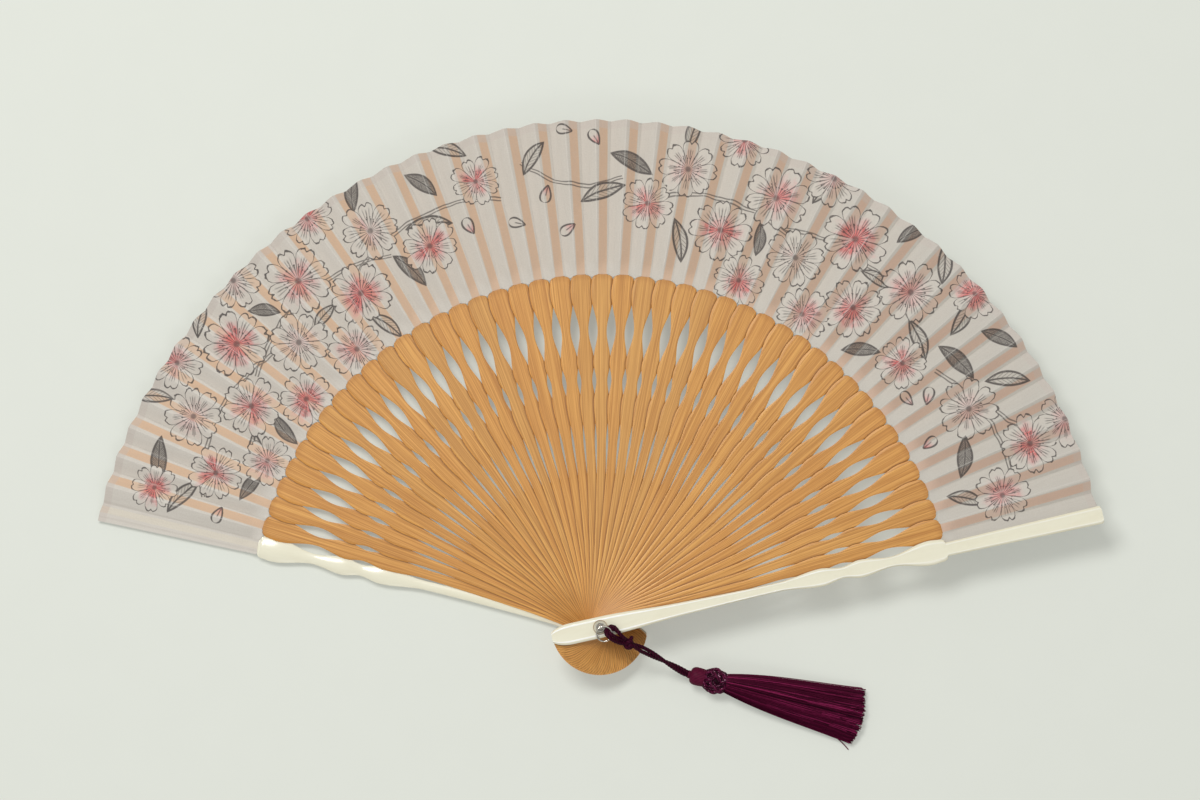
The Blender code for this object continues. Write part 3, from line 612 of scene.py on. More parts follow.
@dataclass(frozen=True)
class SilkFinish:
    """Thin printed silk through which the bamboo tongues show as warm stripes."""

    ground_left: Colour = srgb(208, 202, 192)
    ground_middle: Colour = srgb(201, 194, 183)
    ground_right: Colour = srgb(196, 191, 181)
    stripe_left: Colour = srgb(212, 176, 143)
    stripe_middle: Colour = srgb(206, 172, 143)
    stripe_right: Colour = srgb(206, 173, 151)
    guard: Colour = srgb(214, 206, 190)
    hem: Colour = srgb(196, 185, 176)
    hem_wood: Colour = srgb(204, 180, 160)
    # Colours of the painted highlight on the ridge creases and the painted shade in the valley creases.
    ridge: Colour = srgb(216, 212, 203)
    valley: Colour = srgb(176, 168, 157)
    ink: Colour = srgb(48, 42, 44)
    pale_pink: Colour = srgb(222, 160, 158)
    coral: Colour = srgb(208, 66, 68)
    petal: Colour = srgb(216, 209, 199)
    grain_dark: Colour = srgb(166, 156, 144)
    grain_light: Colour = srgb(224, 219, 210)
    foliage: Colour = srgb(168, 162, 150)
    stripe_half: float = 1.56
    guard_half: float = 1.25
    hem_depth: float = 2.9
    pitch: float = 3.5
    crease: float = 0.875
    design: PrintDesign = field(default_factory=PrintDesign)

    def material(self, side: SilkSide, low: float, high: float) -> bpy.types.Material:
        """Builds the silk's material for one side of a stretch of the leaf.

        Args:
            side: Face, with the print, or reverse, where it shows through faintly.
            low: Lowest azimuth of the stretch.
            high: Its highest azimuth.

        Returns:
            The material.
        """
        board = Board(f"{side.value}_{low:.0f}")
        step = board.step
        design = self.design.within(low, high)
        offset, reach = board.chart("pleat")
        x, y = board.chart("plan")
        place = board.join(x, y)
        end = board.painted("end")
        spare = board.painted("spare")
        to_mm = reach * math.radians(1.0)
        to_left = abs(offset) * to_mm
        to_right = abs(self.pitch - offset) * to_mm
        to_rib = board.math("MINIMUM", to_left, to_right)
        guard_side = end * (offset < self.pitch / 2)
        half = self.stripe_half + guard_side * (self.guard_half - self.stripe_half)
        weave = board.noise(board.join(offset * to_mm * 1.7, reach * 0.12, x * 0.02), 1.0, 3.0, 0.6)
        thread = board.noise(board.join(offset * to_mm * 6.0, reach * 0.5, y * 0.05), 1.0, 1.0)
        slub = board.noise(board.join(offset * to_mm * 0.35, reach * 1.6, y * 0.03), 1.0, 2.0)
        waver = (weave - 0.5) * 0.22
        hem = step(spare, self.hem_depth + 0.15, self.hem_depth - 0.15)
        stripe = step(to_rib - half + waver, 0.16, -0.16)
        ground = board.mix(step(x, -165.0, -10.0), self.ground_left, self.ground_middle)
        ground = board.mix(step(x, 0.0, 165.0), ground, self.ground_right)
        wood = board.mix(step(x, -150.0, 0.0), self.stripe_left, self.stripe_middle)
        wood = board.mix(step(x, 0.0, 150.0), wood, self.stripe_right)
        wood = board.mix(guard_side, wood, self.guard)
        colour = board.mix(stripe * 0.90, ground, wood)
        colour = board.mix(hem * 0.42, colour, self.hem)
        colour = board.mix(hem * stripe * 0.35, colour, self.hem_wood)
        tint = 0.5 + 0.5 * step(weave, 0.3, 0.7)
        pen, blush, petals = design.draw_flowers(board, place)
        leaf_pen, foliage = design.draw_leaves(board, place)
        petal_pen, petal_blush = design.draw_petals(board, place)
        stems = design.draw_stems(board, place)
        outside = 1.0 - petals
        strength = 1.0 if side is SilkSide.FACE else 0.35
        wash = board.most(blush, petal_blush * 0.8 * outside)
        colour = board.mix(petals * 0.22 * strength, colour, self.petal)
        colour = board.mix(foliage * outside * 0.30 * strength, colour, self.foliage)
        colour = board.mix(step(wash, 0.0, 0.40) * 0.55 * strength * tint, colour, self.pale_pink)
        colour = board.mix(step(wash, 0.22, 0.85) * 0.90 * strength * tint, colour, self.coral)
        lines = board.most(leaf_pen, stems * (1.0 - foliage) * 0.8, petal_pen)
        lines = board.most(pen, lines * outside)
        colour = board.mix(lines * 0.88 * strength, colour, self.ink)
        # Painted highlight along each ridge crease and painted shade along each valley crease.
        fold = self.crease * to_mm
        ridge = step(abs(to_right - fold), 0.24, 0.06) * (offset > self.pitch / 2)
        valley = step(abs(to_left - fold), 0.60, 0.10) * (offset < self.pitch / 2)
        colour = board.mix(ridge * 0.28, colour, self.ridge)
        colour = board.mix(valley * 0.26, colour, self.valley)
        grit = board.noise(board.join(x * 1.9, y * 1.9), 1.0, 2.0, 0.7)
        colour = board.layers(
            colour,
            (grit, 0.40, 0.66, 0.14, self.grain_dark),
            (weave, 0.35, 0.75, 0.10, self.grain_dark),
            (slub, 0.55, 0.80, 0.08, self.grain_light),
        )
        relief = board.bump(weave * 0.5 + thread * 0.4 + slub * 0.2, 0.4, 0.08)
        rough = 0.72 + thread * 0.12
        return board.finish(Base_Color=colour, Roughness=rough, Normal=relief, Sheen_Weight=0.1)


@dataclass(frozen=True)
class MetalFinish:
    """Bright plated steel with fine rubbing marks, and a painted dark reflection on its steeper faces."""

    body: Colour = srgb(236, 231, 220)
    dull: Colour = srgb(128, 120, 108)
    painted_dark_reflection: Colour = srgb(66, 60, 54)

    def material(self) -> bpy.types.Material:
        """Builds the metal's material."""
        board = Board("plated_steel")
        place = board.node("TexCoord", "Object")
        face = board.up(board.node("NewGeometry", "Normal"))
        cloud = board.noise(place, 700.0, 3.0)
        rub = board.noise(place, 2600.0, 2.0)
        colour = board.mix(board.step(cloud, 0.42, 0.66) * 0.45, self.body, self.dull)
        # Painted dark reflection on faces that turn away from straight up.
        colour = board.mix(board.step(face, 0.72, 0.30) * 0.85, colour, self.painted_dark_reflection)
        relief = board.bump(rub, 0.2, 0.02)
        rough = 0.14 + cloud * 0.14
        return board.finish(Base_Color=colour, Roughness=rough, Metallic=1.0, Normal=relief)


@dataclass(frozen=True)
class ClearFinish:
    """Clear plastic, cloudier at its rim."""

    body: Colour = srgb(240, 235, 216)
    rim: Colour = srgb(172, 136, 92)

    def material(self) -> bpy.types.Material:
        """Builds the plastic's material."""
        board = Board("clear_plastic")
        rim = board.step(board.painted("rim"), 0.88, 0.98)
        place = board.node("TexCoord", "Object")
        cloud = board.noise(place, 900.0, 2.0)
        colour = board.mix(rim, self.body, self.rim)
        clear = 0.22 + rim * 0.62 + cloud * 0.06
        relief = board.bump(cloud, 0.15, 0.03)
        return board.finish(Base_Color=colour, Roughness=0.14 + cloud * 0.06, Alpha=clear, Normal=relief)


@dataclass(frozen=True)
class ThreadFinish:
    """Plum thread, lit on its raised strands and dark between them."""

    name: str = "plum_thread"
    deep: Colour = srgb(26, 0, 12)
    body: Colour = srgb(66, 8, 34)
    bright: Colour = srgb(112, 34, 64)
    # Colour of painted glints on the plait's shiny threads, and how strongly they show.
    speck: Colour = srgb(206, 150, 176)
    speck_share: float = 0.0
    fibre: float = 3.0
    roughness: float = 0.55

    def material(self) -> bpy.types.Material:
        """Builds the thread's material."""
        board = Board(self.name)
        along, across = board.chart("length")
        crest = board.painted("crest")
        tone = board.painted("tone")
        place = board.join(along * 0.5 + tone * 13.0, across * self.fibre, tone * 7.0)
        hair = board.noise(place, 1.6, 2.0, 0.6)
        lift = board.step(crest * 0.5 + hair * 0.3 + tone * 0.24, 0.05, 0.72)
        colour = board.mix(lift, self.deep, self.body)
        glow = board.step(crest * 0.3 + hair * 0.5 + tone * 0.28, 0.52, 0.95)
        colour = board.mix(glow * 0.6, colour, self.bright)
        # Painted glints: scattered bright pink specks, where speck_share is set.
        spot = board.noise(board.join(along * 1.9 + tone * 31.0, across * 1.9, tone * 3.0), 1.0, 1.0)
        colour = board.mix(board.step(spot, 0.66, 0.72) * self.speck_share, colour, self.speck)
        relief = board.bump(hair, 0.6, 0.08)
        rough = self.roughness + (hair - 0.5) * 0.2
        return board.finish(Base_Color=colour, Roughness=rough, Normal=relief, Specular_IOR_Level=0.08)


@dataclass(frozen=True)
class FloorFinish:
    """Plain pale floor, shown in one part at its own strength so that its shadows stay pale."""

    body: Colour = srgb(224, 227, 218)
    fleck: Colour = srgb(214, 217, 208)
    own_share: float = 0.40
    glow: float = 1.0

    def material(self) -> bpy.types.Material:
        """Builds the floor's material."""
        board = Board("pale_floor")
        grain = board.noise(board.node("TexCoord", "Object"), 60.0, 3.0)
        colour = board.mix(board.step(grain, 0.3, 0.7) * 0.06, self.body, self.fleck)
        rays = board.node("LightPath", "Is Camera Ray")
        seen = board.most(rays, rays.other("Is Glossy Ray"), rays.other("Is Transmission Ray"))
        matt = board.node("BsdfPrincipled", 0, None, {"Base Color": colour, "Roughness": 0.85})
        lit = board.node("Emission", 0, None, {"Color": colour, "Strength": self.glow})
        blend = board.node("MixShader", 0, None, {0: self.own_share * seen, 1: matt, 2: lit})
        board.node("OutputMaterial", 0, None, {"Surface": blend})
        return board.material


# Meshes


class Surface:
    """Points, faces, painted numbers and UV maps of one mesh, in millimetres."""

    def __init__(self) -> None:
        """Starts an empty surface."""
        self.points: list[Vector] = []
        self.faces: list[tuple[int, ...]] = []
        self.painted: dict[str, list[float]] = {}
        self.charts: dict[str, list[Station]] = {}

    def add(self, point: Vector, **values: Union[float, Station]) -> int:
        """Adds a point.

        Args:
            point: Its place.
            **values: Its painted numbers, and its place in each UV map.

        Returns:
            Its number.
        """
        self.points.append(point)
        for name, value in values.items():
            kept = self.charts if isinstance(value, tuple) else self.painted
            kept.setdefault(name, []).append(value)
        return len(self.points) - 1

    def skin(self, rings: Sequence[Sequence[int]], caps: bool = True) -> None:
        """Joins closed rings of points with faces, and closes the two ends."""
        for near, far in zip(rings, rings[1:]):
            for k in range(len(near)):
                after = (k + 1) % len(near)
                self.faces.append((near[k], near[after], far[after], far[k]))
        if caps:
            self.faces += [tuple(reversed(rings[0])), tuple(rings[-1])]

    def mesh(self, name: str, sharp: float = 40.0) -> bpy.types.Mesh:
        """Makes the mesh.

        Args:
            name: Its name.
            sharp: Angle from which an edge is shaded as sharp.

        Returns:
            The mesh, in metres.
        """
        data = bpy.data.meshes.new(name)
        data.from_pydata([point * MM for point in self.points], [], self.faces)
        for label, values in self.painted.items():
            layer = data.attributes.new(label, "FLOAT", "POINT")
            layer.data.foreach_set("value", values)
        corners = [0] * len(data.loops)
        data.loops.foreach_get("vertex_index", corners)
        for label, values in self.charts.items():
            layer = data.uv_layers.new(name=label)
            flat = [number for corner in corners for number in values[corner]]
            layer.uv.foreach_set("vector", flat)
        data.shade_smooth()
        data.set_sharp_from_angle(angle=math.radians(sharp))
        data.update()
        return data


def put(
    name: str,
    data: bpy.types.Mesh,
    materials: Sequence[bpy.types.Material],
    at: Vector = Vector(),
    turn: Spot = (0.0, 0.0, 0.0),
) -> bpy.types.Object:
    """Places a mesh in the scene.

    Args:
        name: Name of the new object.
        data: Its mesh.
        materials: Its materials.
        at: Its place.
        turn: Its turn about X, Y and Z.

    Returns:
        The object.
    """
    piece = bpy.data.objects.new(name, data)
    piece.location = at * MM
    piece.rotation_euler = [math.radians(angle) for angle in turn]
    data.materials.clear()
    for material in materials:
        data.materials.append(material)
    bpy.context.scene.collection.objects.link(piece)
    return piece


def seat(piece: bpy.types.Object, body: str, slot: str, *nodes: str) -> bpy.types.Object:
    """Rides a piece on its body, in place of its nodes."""
    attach(piece, body)
    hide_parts(*nodes)
    return piece


def frames_along(path: Sequence[Vector]) -> list[tuple[Vector, Vector]]:
    """Two directions square to a path at each of its points, which don't twist along it.

    Args:
        path: Points of the path.

    Returns:
        One pair of directions for each point.
    """
    pairs = []
    side = None
    for k in range(len(path)):
        ahead = (path[min(k + 1, len(path) - 1)] - path[max(k - 1, 0)]).normalized()
        if side is None:
            side = Vector((0.0, 0.0, 1.0)).cross(ahead)
            side = side if side.length > 1e-6 else Vector((1.0, 0.0, 0.0)).cross(ahead)
        side = (side - ahead * side.dot(ahead)).normalized()
        pairs.append((side, ahead.cross(side)))
    return pairs


def tube(
    surface: Surface,
    path: Sequence[Vector],
    sides: int,
    radius: Callable[[int, float], float],
    tone: float = 0.0,
    crest: Callable[[int, float], float] = lambda k, angle: 1.0,
    caps: bool = True,
) -> None:
    """Adds a round tube along a path.

    Args:
        surface: Surface that takes the tube.
        path: Its centre line.
        sides: Number of its sides.
        radius: Its radius at a path point and an angle.
        tone: Painted tone.
        crest: Painted height of its relief at a path point and an angle.
        caps: Whether its ends are closed.
    """
    pairs = frames_along(path)
    length = 0.0
    rings = []
    for k, (side, over) in enumerate(pairs):
        if k:
            length += (path[k] - path[k - 1]).length
        ring = []
        for n in range(sides):
            angle = math.tau * n / sides
            out = side * math.cos(angle) + over * math.sin(angle)
            reach = radius(k, angle)
            point = path[k] + out * reach
            ring.append(surface.add(point, length=(length, reach * angle), tone=tone, crest=crest(k, angle)))
        rings.append(ring)
    surface.skin(rings, caps)


def smooth_path(route: Sequence[Vector], spacing: float) -> list[Vector]:
    """Even points on a smooth curve through a route's points.

    Args:
        route: Points that the curve goes through.
        spacing: Distance between the points that are wanted.

    Returns:
        The points.
    """
    guide = [2 * route[0] - route[1], *route, 2 * route[-1] - route[-2]]
    fine = []
    for a, b, c, d in zip(guide, guide[1:], guide[2:], guide[3:]):
        for step in range(24):
            t = step / 24
            bend = (c - a) * t + (2 * a - 5 * b + 4 * c - d) * t**2 + (3 * b - a - 3 * c + d) * t**3
            fine.append(b + bend / 2)
    fine.append(guide[-2])
    lengths = [0.0]
    for near, far in zip(fine, fine[1:]):
        lengths.append(lengths[-1] + (far - near).length)
    count = max(round(lengths[-1] / spacing), 2)
    points = []
    at = 1
    for k in range(count + 1):
        goal = lengths[-1] * k / count
        while at < len(lengths) - 1 and lengths[at] < goal:
            at += 1
        share = (goal - lengths[at - 1]) / (lengths[at] - lengths[at - 1])
        points.append(fine[at - 1].lerp(fine[at], share))
    return points


def path_length(path: Sequence[Vector]) -> float:
    """Length of a path."""
    return sum((far - near).length for near, far in zip(path, path[1:]))


# The fan


@dataclass(frozen=True)
class Widths:
    """Full widths along one stick or guard."""

    heel_reach: float
    heel_round: float
    pivot: float
    shank: float
    lower_waist: float
    lower_lobe: float
    middle_waist: float
    middle_lobe: float
    upper_waist: float
    upper_lobe: float
    shoulder: float
    shoulder_round: float


@dataclass(frozen=True)
class Layout:
    """Sizes and places that the pieces share."""

    stick_count: int = 43
    opening: float = 154.0
    stick_thickness: float = 0.30
    stack_gap: float = 0.08
    guard_thickness: float = 2.2
    shoulder_reach: float = 132.2
    shoulder_ledge: float = 0.2
    leaf_inner: float = 132.5
    leaf_outer: float = 190.5
    leaf_end_spare: float = 2.8
    leaf_end_spread: float = 50.0
    leaf_end_flap: float = 1.4
    stick_reach: float = 187.8
    guard_reach: float = 191.9
    tongue_width: float = 3.6
    tongue_thickness: float = 0.20
    back_tongue_root: float = 4.4
    twist_length: float = 6.6
    pleat_slope_limit: float = 30.0
    guard_relief_depth: float = 1.2
    relief_ramp: float = 4.0
    back_guard_z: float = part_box("back_guard")[0].z / MM
    front_guard_z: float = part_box("front_guard")[0].z / MM

    @property
    def pitch(self) -> float:
        """Angle from one stick to the next."""
        return self.opening / (self.stick_count + 1)

    @property
    def crease(self) -> float:
        """Angle from a stick's middle to the crease beside it."""
        return self.pitch / 4

    @property
    def front_top(self) -> float:
        """Height of the front guard's outer face."""
        return self.front_guard_z + self.guard_thickness

    @property
    def twist_end(self) -> float:
        """Reach from which the tongues and the leaf have their full slope."""
        return self.shoulder_reach + self.twist_length

    def azimuth(self, number: int) -> float:
        """Direction of a stick, 0 for the back guard and one past the last for the front guard."""
        return 90 + self.opening / 2 - number * self.pitch

    def stick_z(self, number: int) -> float:
        """Height of a stick's underside."""
        first = self.back_guard_z + self.guard_thickness + self.stack_gap
        return between(first, self.front_guard_z, (number - 1) / self.stick_count)

    def pleat_slope(self, reach: float) -> float:
        """Sideways slope of a tongue and of the leaf on it, in radians."""
        return math.radians(self.pleat_slope_limit) * ease((reach - self.shoulder_reach) / self.twist_length)

    def relief(self, reach: float) -> float:
        """Depth cut from a guard's inner face at a place along its tongue."""
        return self.guard_relief_depth * ease((reach - self.shoulder_reach) / self.relief_ramp)

    def edge_spare(self, azimuth: float) -> float:
        """How far the leaf's outer edge runs past its usual reach, more towards the back guard."""
        share = 1 - (self.azimuth(0) - azimuth) / self.leaf_end_spread
        return self.leaf_end_spare * min(max(share, 0.0), 1.0) ** 2

    def body(self, number: int) -> str:
        """Name of the body that a stick or guard rides on."""
        if number == 0:
            return "back_guard"
        return "front_guard" if number > self.stick_count else f"stick_{number:02d}"


@dataclass
class Slats:
    """Shared outline work of the sticks and the guards."""

    layout: Layout
    stations: tuple[float, ...] = (30.0, 68.0, 84.5, 92.5, 99.5, 111.0, 126.0)
    rows_per_span: int = 9
    heel_rows: int = 14
    heel_end_angle: float = 20.0
    shoulder_rows: int = 9

    def outline(self, widths: Widths, tongue: float) -> list[Station]:
        """Rows of reach and width from the heel to the shoulder.

        Args:
            widths: Widths at the lobes and waists.
            tongue: Width of the tongue that follows.

        Returns:
            The rows.
        """
        rows = []
        end = math.cos(math.radians(self.heel_end_angle))
        for row in range(self.heel_rows):
            share = math.sin(math.pi / 2 * row / self.heel_rows)
            angle = math.radians(between(8.0 + self.heel_end_angle, 90.0, share))
            back = widths.heel_round * (1 - math.cos(angle) / end)
            rows.append((back - widths.heel_reach, widths.pivot * math.sin(angle)))
        rows += self._waisted(widths)
        neck = tongue + 2 * self.layout.shoulder_ledge
        for row in range(1, self.shoulder_rows + 1):
            angle = math.pi / 2 * row / self.shoulder_rows
            reach = self.layout.shoulder_reach - widths.shoulder_round * (1 - math.sin(angle))
            rows.append((reach, neck + (widths.shoulder - neck) * math.cos(angle)))
        return rows

    def _waisted(self, widths: Widths) -> list[Station]:
        """Rows on a smooth curve that turns only at the lobes and waists."""
        marks = [(widths.heel_round - widths.heel_reach, widths.pivot), (0.0, widths.pivot)]
        middles = astuple(widths)[3:-2]
        marks += list(zip(self.stations, middles))
        marks.append((self.layout.shoulder_reach - widths.shoulder_round, widths.shoulder))
        spans = list(zip(marks, marks[1:]))
        chords = [(w1 - w0) / (u1 - u0) for (u0, w0), (u1, w1) in spans]
        tangents = [0.0]
        for before, after in zip(chords, chords[1:]):
            same_way = before * after > 0
            tangents.append(2 * before * after / (before + after) if same_way else 0.0)
        tangents.append(chords[-1])
        rows = [marks[0]]
        for number, ((u0, w0), (u1, w1)) in enumerate(spans):
            length = u1 - u0
            for row in range(1, self.rows_per_span + 1):
                t = row / self.rows_per_span
                lead = (t**3 - 2 * t**2 + t) * length * tangents[number]
                trail = (t**3 - t**2) * length * tangents[number + 1]
                rows.append((u0 + t * length, w0 + (w1 - w0) * ease(t) + lead + trail))
        return rows

    def cover(self, reach: float, half: float) -> float:
        """Side at which the next slat begins to lie on this one."""
        return math.copysign(half, reach) - reach * math.sin(math.radians(self.layout.pitch))

    def loft(self, surface: Surface, sections: Sequence[Section], tone: float) -> None:
        """Adds a closed bar through sections.

        Args:
            surface: Surface that takes the bar.
            sections: Reach of each section with its outline, as side and height.
            tone: Painted tone.
        """
        rings = []
        for reach, outline in sections:
            widest = max(abs(side) for side, _ in outline)
            cover = self.cover(reach, widest)
            ring = []
            for side, height in outline:
                rim = abs(side) / widest
                point = Vector((reach, side, height))
                ring.append(surface.add(point, length=(reach, side), tone=tone, rim=rim, cover=cover))
            rings.append(ring)
        surface.skin(rings)


@dataclass
class Sticks(Slats):
    """The bamboo sticks, each a thin waisted slat with a twisted tongue."""

    widths: Widths = Widths(16.8, 6.5, 7.8, 4.7, 3.35, 5.9, 4.1, 6.5, 3.3, 8.7, 8.0, 2.2)
    edge: float = 0.07
    heel_more: float = 1.3
    heel_front: float = 0.5
    twist_rows: int = 10
    tongue_rows: int = 10
    unevenness: float = 0.012
    seed: int = 11

    def section(self, width: float, thickness: float, slope: float = 0.0) -> list[Station]:
        """Outline of a stick's section, a flat bar with eased edges turned by its slope.

        Args:
            width: Full width.
            thickness: Thickness.
            slope: Turn about the stick's own length, in radians.

        Returns:
            Side and height of each point.
        """
        half = width / 2
        ease_side = self.edge * 1.4
        bar = (
            (-half + self.edge, 0.0), (half - self.edge, 0.0),
            (half, self.edge * 0.8), (half, thickness - self.edge),
            (half - ease_side, thickness), (half * 0.72, thickness), (0.0, thickness),
            (-half * 0.72, thickness), (-half + ease_side, thickness),
            (-half, thickness - self.edge), (-half, self.edge * 0.8),
        )
        lean = math.tan(slope)
        return [(side * math.cos(slope), height + side * math.cos(slope) * lean) for side, height in bar]

    def sections(self, number: int, tone: float) -> list[Section]:
        """Sections along one stick from heel to tongue tip.

        Args:
            number: Number of the stick, since the heels run out further towards the front.
            tone: Number from -1 to 1 that makes this stick's outline slightly its own.

        Returns:
            Reach and outline of each section.
        """
        lay = self.layout
        made = []
        more = self.heel_more + self.heel_front * (number / lay.stick_count) ** 2
        widths = replace(self.widths, heel_reach=self.widths.heel_reach + more)
        for reach, width in self.outline(widths, lay.tongue_width):
            wide = width * (1 + self.unevenness * tone * math.sin(reach / 17.0 + tone * 9))
            made.append((reach, self.section(wide, lay.stick_thickness)))
        reaches = spread(lay.leaf_inner, lay.twist_end, self.twist_rows)
        for reach in reaches + spread(lay.twist_end, lay.stick_reach, self.tongue_rows)[1:]:
            made.append((reach, self.section(lay.tongue_width, lay.tongue_thickness, lay.pleat_slope(reach))))
        return made

    def build(self) -> None:
        """Builds every stick on its body."""
        material = BambooFinish().material()
        chance = random.Random(self.seed)
        for number in range(1, self.layout.stick_count + 1):
            name = f"stick_{number:02d}"
            tone = chance.uniform(-1.0, 1.0)
            surface = Surface()
            self.loft(surface, self.sections(number, tone), tone)
            at = Vector((0.0, 0.0, self.layout.stick_z(number)))
            turn = (0.0, 0.0, self.layout.azimuth(number))
            piece = put("bamboo_" + name, surface.mesh("bamboo_" + name), [material], at, turn)
            seat(piece, name, "bamboo", name)
        log.info("sticks: %d", self.layout.stick_count)


@dataclass
class Guards(Slats):
    """The two lacquered guards, with a low crease inside each bevelled side."""

    widths: Widths = Widths(18.0, 8.0, 7.9, 5.0, 3.4, 6.7, 4.2, 6.7, 3.9, 9.2, 8.4, 1.8)
    front_heel: float = 18.9
    front_root: float = 5.2
    front_tip: float = 6.8
    back_tip: float = 3.9
    crown: float = 0.6
    crease_share: float = 0.72
    tongue_rows: int = 16
    tip_round: float = 1.0
    tip_rows: int = 6

    def section(self, width: float, relief: float) -> list[Station]:
        """Outline of a guard's section, its inner face down.

        Args:
            width: Full width.
            relief: Depth cut from its inner face.

        Returns:
            Side and height of each point.
        """
        half = width / 2
        thick = self.layout.guard_thickness
        edge = thick - self.crown
        crease = self.crease_share
        bevel = 0.97 - crease
        outer = (
            (1.0, edge - 0.22), (0.995, edge - 0.08), (0.97, edge + 0.08),
            (crease + bevel * 0.66, between(edge, thick, 0.50)),
            (crease + bevel * 0.33, between(edge, thick, 0.78)),
            (crease + 0.03, thick - 0.035), (crease, thick), (crease - 0.03, thick - 0.01),
            (crease - 0.10, thick - 0.04), (crease * 0.5, thick - 0.055), (crease * 0.2, thick - 0.06),
        )
        right = [(share * half, height) for share, height in outer]
        left = [(-side, height) for side, height in reversed(right)]
        low = [(-half + 0.12, relief), (half - 0.12, relief), (half, relief + 0.12)]
        return low + right + left + [(-half, relief + 0.12)]

    def build_one(self, name: str, widths: Widths, root: float, tip: float, at: Vector, turn: Spot) -> None:
        """Builds one guard.

        Args:
            name: Node and body that it stands for.
            widths: Widths at its lobes and waists.
            root: Width of its tongue at the shoulder.
            tip: Width of its tongue at the tip.
            at: Its place.
            turn: Its turn about X, Y and Z.
        """
        lay = self.layout
        made = [(reach, self.section(width, 0.0)) for reach, width in self.outline(widths, root)]
        length = lay.guard_reach - self.tip_round - lay.leaf_inner
        for row in range(self.tongue_rows + 1):
            share = (row / self.tongue_rows) ** 1.5
            reach = lay.leaf_inner + length * share
            made.append((reach, self.section(root + (tip - root) * share, lay.relief(reach))))
        for row in range(1, self.tip_rows + 1):
            angle = math.pi / 2 * row / self.tip_rows
            reach = lay.guard_reach - self.tip_round * (1 - math.sin(angle))
            width = tip - 2 * self.tip_round * (1 - math.cos(angle))
            made.append((reach, self.section(width, lay.relief(reach))))
        surface = Surface()
        self.loft(surface, made, 0.0)
        piece = put("lacquered_" + name, surface.mesh("lacquered_" + name, 50.0), [self.material], at, turn)
        seat(piece, name, "cream_lacquer", name)

    def build(self) -> None:
        """Builds both guards."""
        lay = self.layout
        self.material = LacquerFinish(crease=self.crease_share).material()
        front = Vector((0.0, 0.0, lay.front_guard_z))
        front_turn = (0.0, 0.0, lay.azimuth(lay.stick_count + 1))
        widths = replace(self.widths, heel_reach=self.front_heel)
        self.build_one("front_guard", widths, self.front_root, self.front_tip, front, front_turn)
        back = Vector((0.0, 0.0, lay.back_guard_z + lay.guard_thickness))
        back_turn = (180.0, 0.0, lay.azimuth(0))
        self.build_one("back_guard", self.widths, lay.back_tongue_root, self.back_tip, back, back_turn)
        log.info("guards: 2")


